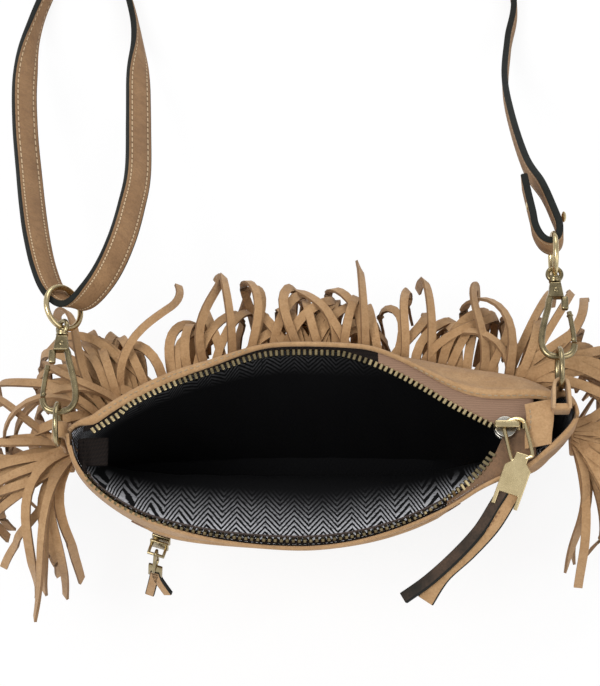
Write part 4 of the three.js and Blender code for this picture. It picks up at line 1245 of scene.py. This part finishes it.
# A strand springs out, turns over with the given radius and hangs, swaying as it goes
def strandPath(root, heading, rise, radius, sway, long, seed, keepOff=True):
    steps = fringe["steps"]
    step = long / steps
    path = [Vector(root)]
    yaw, pitch = heading, rise
    steepest = -math.pi * (0.42 + 0.2 * chance(seed + 7))
    phase = 6 * chance(seed + 8)
    for i in range(steps):
        share = (i + 0.5) / steps
        pitch = max(steepest, pitch - step / radius * (0.35 + 0.65 * ease(share * 4)))
        if share > 0.72:
            pitch += 1.1 * step / radius * chance(seed + 9)
        yaw += sway * step * math.sin(share * 5 + phase)
        ahead = Vector((math.cos(yaw) * math.cos(pitch), math.sin(yaw) * math.cos(pitch), math.sin(pitch)))
        point = path[-1] + ahead * step
        if keepOff:
            point.y = max(point.y, frontAt(point.x, point.z))
        spare = 4 * chance(seed)
        point.x = min(max(point.x, fringe["leftMost"] + spare), fringe["rightMost"] - spare)
        point.z = max(point.z, fringe["lowest"] + 1.5 * chance(seed + i))
        path.append(point)
    return path


def addStrand(bm, path, turn, twist, scale):
    a, b = fringe["wide"] * scale / 2, fringe["thick"] / 2
    last = len(path) - 1

    def acrossAt(i):
        along = (path[min(i + 1, last)] - path[max(i - 1, 0)]).normalized()
        flat = Vector((0, 0, 1)).cross(along)
        flat = flat.normalized() if flat.length > 0.05 else Vector((1, 0, 0))
        return Matrix.Rotation(turn + twist * i / len(path), 3, along) @ flat

    addSweep(bm, path, acrossAt, [(a, b), (-a, b), (-a, -b), (a, -b)], paint=lambda u, v: int(u * 4) % 2)


# One row of strands with its sewn band, and long loose strands that spread past both corners
def addTier(name):
    tier = tiers[name]
    fromX, toX, count, seed, level = (tier[key] for key in ("from", "to", "count", "seed", "level"))
    bm = bmesh.new()
    for i in range(count):
        a, b, c, d, e = chances(seed + i * 5)
        along = (i + 0.5) / count
        along -= 0.045 * math.sin(4 * math.pi * along)
        x = fromX + (toX - fromX) * along + 2 * (e - 0.5)
        root = fringedPoint(x, level + 0.012 * (i % 2), 2.6)
        heading = math.pi / 2 - 0.95 * (x / 118) ** 3 + 1.1 * (a - 0.5)
        rise, long = between(tier["rise"], b), between(tier["long"], d)
        path = strandPath(root, heading, rise, 15 + 17 * c, 0.1 * (e - 0.5), long, seed + i * 5)
        addStrand(bm, path, 0.9 * (b - 0.5), 2.6 * (c - 0.5), 0.88 + 0.24 * e)
    for i in range(tier["fan"]):
        strand = seed + fan["seed"] + i * 5
        a, b, c, d, e = chances(strand)
        flip = -1 if i % 5 < 3 else 1
        root = fringedPoint(flip * (fan["root"] + 24 * a), level - 0.05 * b, 3.2)
        heading = math.pi / 2 - flip * (0.25 + 1.2 * c)
        long = fan["long"] + 35 * e
        path = strandPath(root, heading, 0.2 + 0.8 * d, 22 + 26 * b, 0.06 * (e - 0.5), long, strand)
        addStrand(bm, path, 0.9 * (d - 0.5), 2.8 * (a - 0.5), 0.88 + 0.24 * c)
    addPiece(name + "Fringe", bm, [suede, suedeSide], [name + "_fringe"], smooth=35)

    def band(u, v):
        return fringedPoint(fromX - 2 + (toX - fromX + 4) * u, level - 0.03 + 0.065 * v, 1.9)

    bm = bmesh.new()
    faces = addGrid(bm, 70, 3, band)
    bmesh.ops.reverse_faces(bm, faces=faces)
    addPiece(name + "FringeBand", bm, [suede], thick=fringe["bandThick"], offset=1)


for name in tiers:
    addTier(name)

print("tassels")
tassel = {"count": 22, "long": (88, 118), "x": 133.4, "z": 112, "head": (3.4, 15, 11), "keepOut": 133.5}


def addTassel(name, flip, seed):
    bm = bmesh.new()
    centre = Vector((flip * tassel["x"], mouthMiddle(flip * 131, 0.95), tassel["z"]))
    addBlock(bm, tassel["head"], centre + Vector((0, 0, -1)), bevel=1.1, segments=3)
    for i in range(tassel["count"]):
        a, b, c, d, e = chances(seed + i * 5)
        share = (i + 0.5) / tassel["count"]
        layer = i % 3
        root = centre + Vector((flip * (0.8 + layer * 0.7), 6.5 - 13 * share, 4 - 3.2 * layer))
        heading = (0 if flip > 0 else math.pi) - flip * (1.75 * share - 0.35 + 0.5 * (a - 0.5))
        rise, long = 0.1 + 0.6 * b, between(tassel["long"], d)
        path = strandPath(root, heading, rise, 24 + 20 * c, 0.06 * (e - 0.5), long, seed + i * 5, False)
        for point in path[1:]:
            point.x = flip * max(flip * point.x, tassel["keepOut"])
        addStrand(bm, path, 0.9 * (b - 0.5), 2.2 * (c - 0.5), 0.9 + 0.2 * e)
    addPiece(name + "Tassel", bm, [suede, suedeSide], [name + "_tassel"], smooth=35)


addTassel("left", -1, 401)
addTassel("right", 1, 457)

print("pocket zip")
pocket = {
    "level": 0.8,
    "from": -98,
    "to": 70,
    "tall": 0.085,
    "tapeThick": 0.7,
    "teeth": 54,
    "firstTooth": 22,
    "pitch": 2.7,
    "tooth": (1.6, 1.5, 4.2),
    "toothOut": 0.5,
}
welt = {"half": 0.056, "short": 6, "wide": 2.6, "thick": 0.8, "out": 0.3, "steps": 80}
pocketPull = {"bar": Vector((-86.93, -75.94, 112.47)), "wire": 0.85, "plate": (7.6, 10, 1.5), "plateAt": 16}
pocketOut = Vector((-0.29, -0.955, 0.06)).normalized()
pocketAlong = Vector((0.9546, -0.2948, -0.0425))
pocketTails = [{"lean": -2.6, "long": 41}, {"lean": 7.5, "long": 35}]


# A place on the near side's outer face, and the way out of it
def onBack(x, level, lift):
    share = shareOf(x, 130)
    along = bodyPoint(-1, share + 0.01, level) - bodyPoint(-1, share - 0.01, level)
    out = Vector((along.y, -along.x, 0)).normalized()
    out = out if out.y < 0 else -out
    return bodyPoint(-1, share, level) + out * (body["skin"] + lift), out


def addPocketZip():
    fromX, toX, level = pocket["from"], pocket["to"], pocket["level"]

    def place(u, v):
        return onBack(fromX + (toX - fromX) * u, level + (v - 0.5) * pocket["tall"], 0.7)[0]

    bm = bmesh.new()
    addGrid(bm, 60, 4, place)
    thick = pocket["tapeThick"]
    addPiece("pocketTape", bm, [zipCloth], ["pocket_tape"], thick=thick, offset=0)
    bm = bmesh.new()
    for i in range(pocket["teeth"]):
        x = fromX + pocket["firstTooth"] + i * pocket["pitch"]
        at, out = onBack(x, level, pocket["toothOut"])
        along = (onBack(x + 1, level, pocket["toothOut"])[0] - at).normalized()
        addBlock(bm, pocket["tooth"], at, frameOf(along, out, along.cross(out)), segments=1)
    addPiece("pocketTeeth", bm, [brass], ["pocket_chain"])
    bm = bmesh.new()
    start, long, steps = fromX + welt["short"], toX - fromX - 2 * welt["short"], welt["steps"]
    spots = [start + long * i / steps for i in range(steps + 1)]
    for shift in (-welt["half"], welt["half"]):
        path = [onBack(x, level + shift, welt["out"])[0] for x in spots]
        addSweep(bm, path, lambda i: (0, 0, 1), ovalOutline(welt["wide"], welt["thick"], 8), sizeAt=taper)
    addPiece("pocketWelts", bm, [suede])


def taper(share):
    size = min(1, 0.1 + 25 * min(share, 1 - share))
    return size, size


def addPocketPull():
    bar, out, along = pocketPull["bar"], pocketOut, pocketAlong
    up = out.cross(along).normalized()
    up = up if up.z > 0 else -up
    turn = frameOf(along, up, along.cross(up))
    bm = bmesh.new()
    addBlock(bm, (10, 8.4, 1.4), bar - out * 5.6, turn, bevel=0.5, segments=3)
    addBlock(bm, (10, 8.4, 1.4), bar - out * 8.8, turn, bevel=0.5, segments=3)
    addBlock(bm, (3, 3, 3), bar - out * 7.2 - along * 2.5, turn)
    addBlock(bm, (9.4, 2.2, 1.2), bar + out * 0.2, turn, bevel=0.4)
    for end in (-4, 4):
        addBlock(bm, (1.4, 2.2, 5.6), bar - out * 2.4 + along * end, turn)
    addPiece("pocketSlider", bm, [agedBrassAndShade], ["pocket_slider"])

    bm = bmesh.new()
    down = (Vector((0, 0, -1)) + out * 0.25).normalized()
    right = [(-1.2, 1.5), (4, 2.2), (10, 3.6), (12, 2.6)]
    loop = [(-1.8, 0)] + right + [(a, -b) for a, b in reversed(right)]
    path = smoothPath([bar + down * a + out * b for a, b in loop], 48, closed=True)
    addWire(bm, path, along, pocketPull["wire"], 8, ring=True)
    plateTurn = frameOf(along, down, along.cross(down))
    addBlock(bm, pocketPull["plate"], bar + down * pocketPull["plateAt"], plateTurn, bevel=0.4)
    addPiece("pocketPull", bm, [agedBrassAndShade], ["pocket_puller"], ridesOn="pocket_pull")

    bm = bmesh.new()
    outline = flatOutline(5, 2.6, 0.4)
    for tail in pocketTails:
        lean = along * tail["lean"]
        points = [bar + down * 17, bar + down * 24 + lean * 0.25, bar + down * tail["long"] + lean]
        addSweep(bm, smoothPath(points, 16), lambda i: along, outline, paint=paintFlat(0, 1))
    addPiece("pocketTab", bm, [suede, suedeDark], ["pocket_pull_tab"], ridesOn="pocket_pull", smooth=50)


addPocketZip()
addPocketPull()
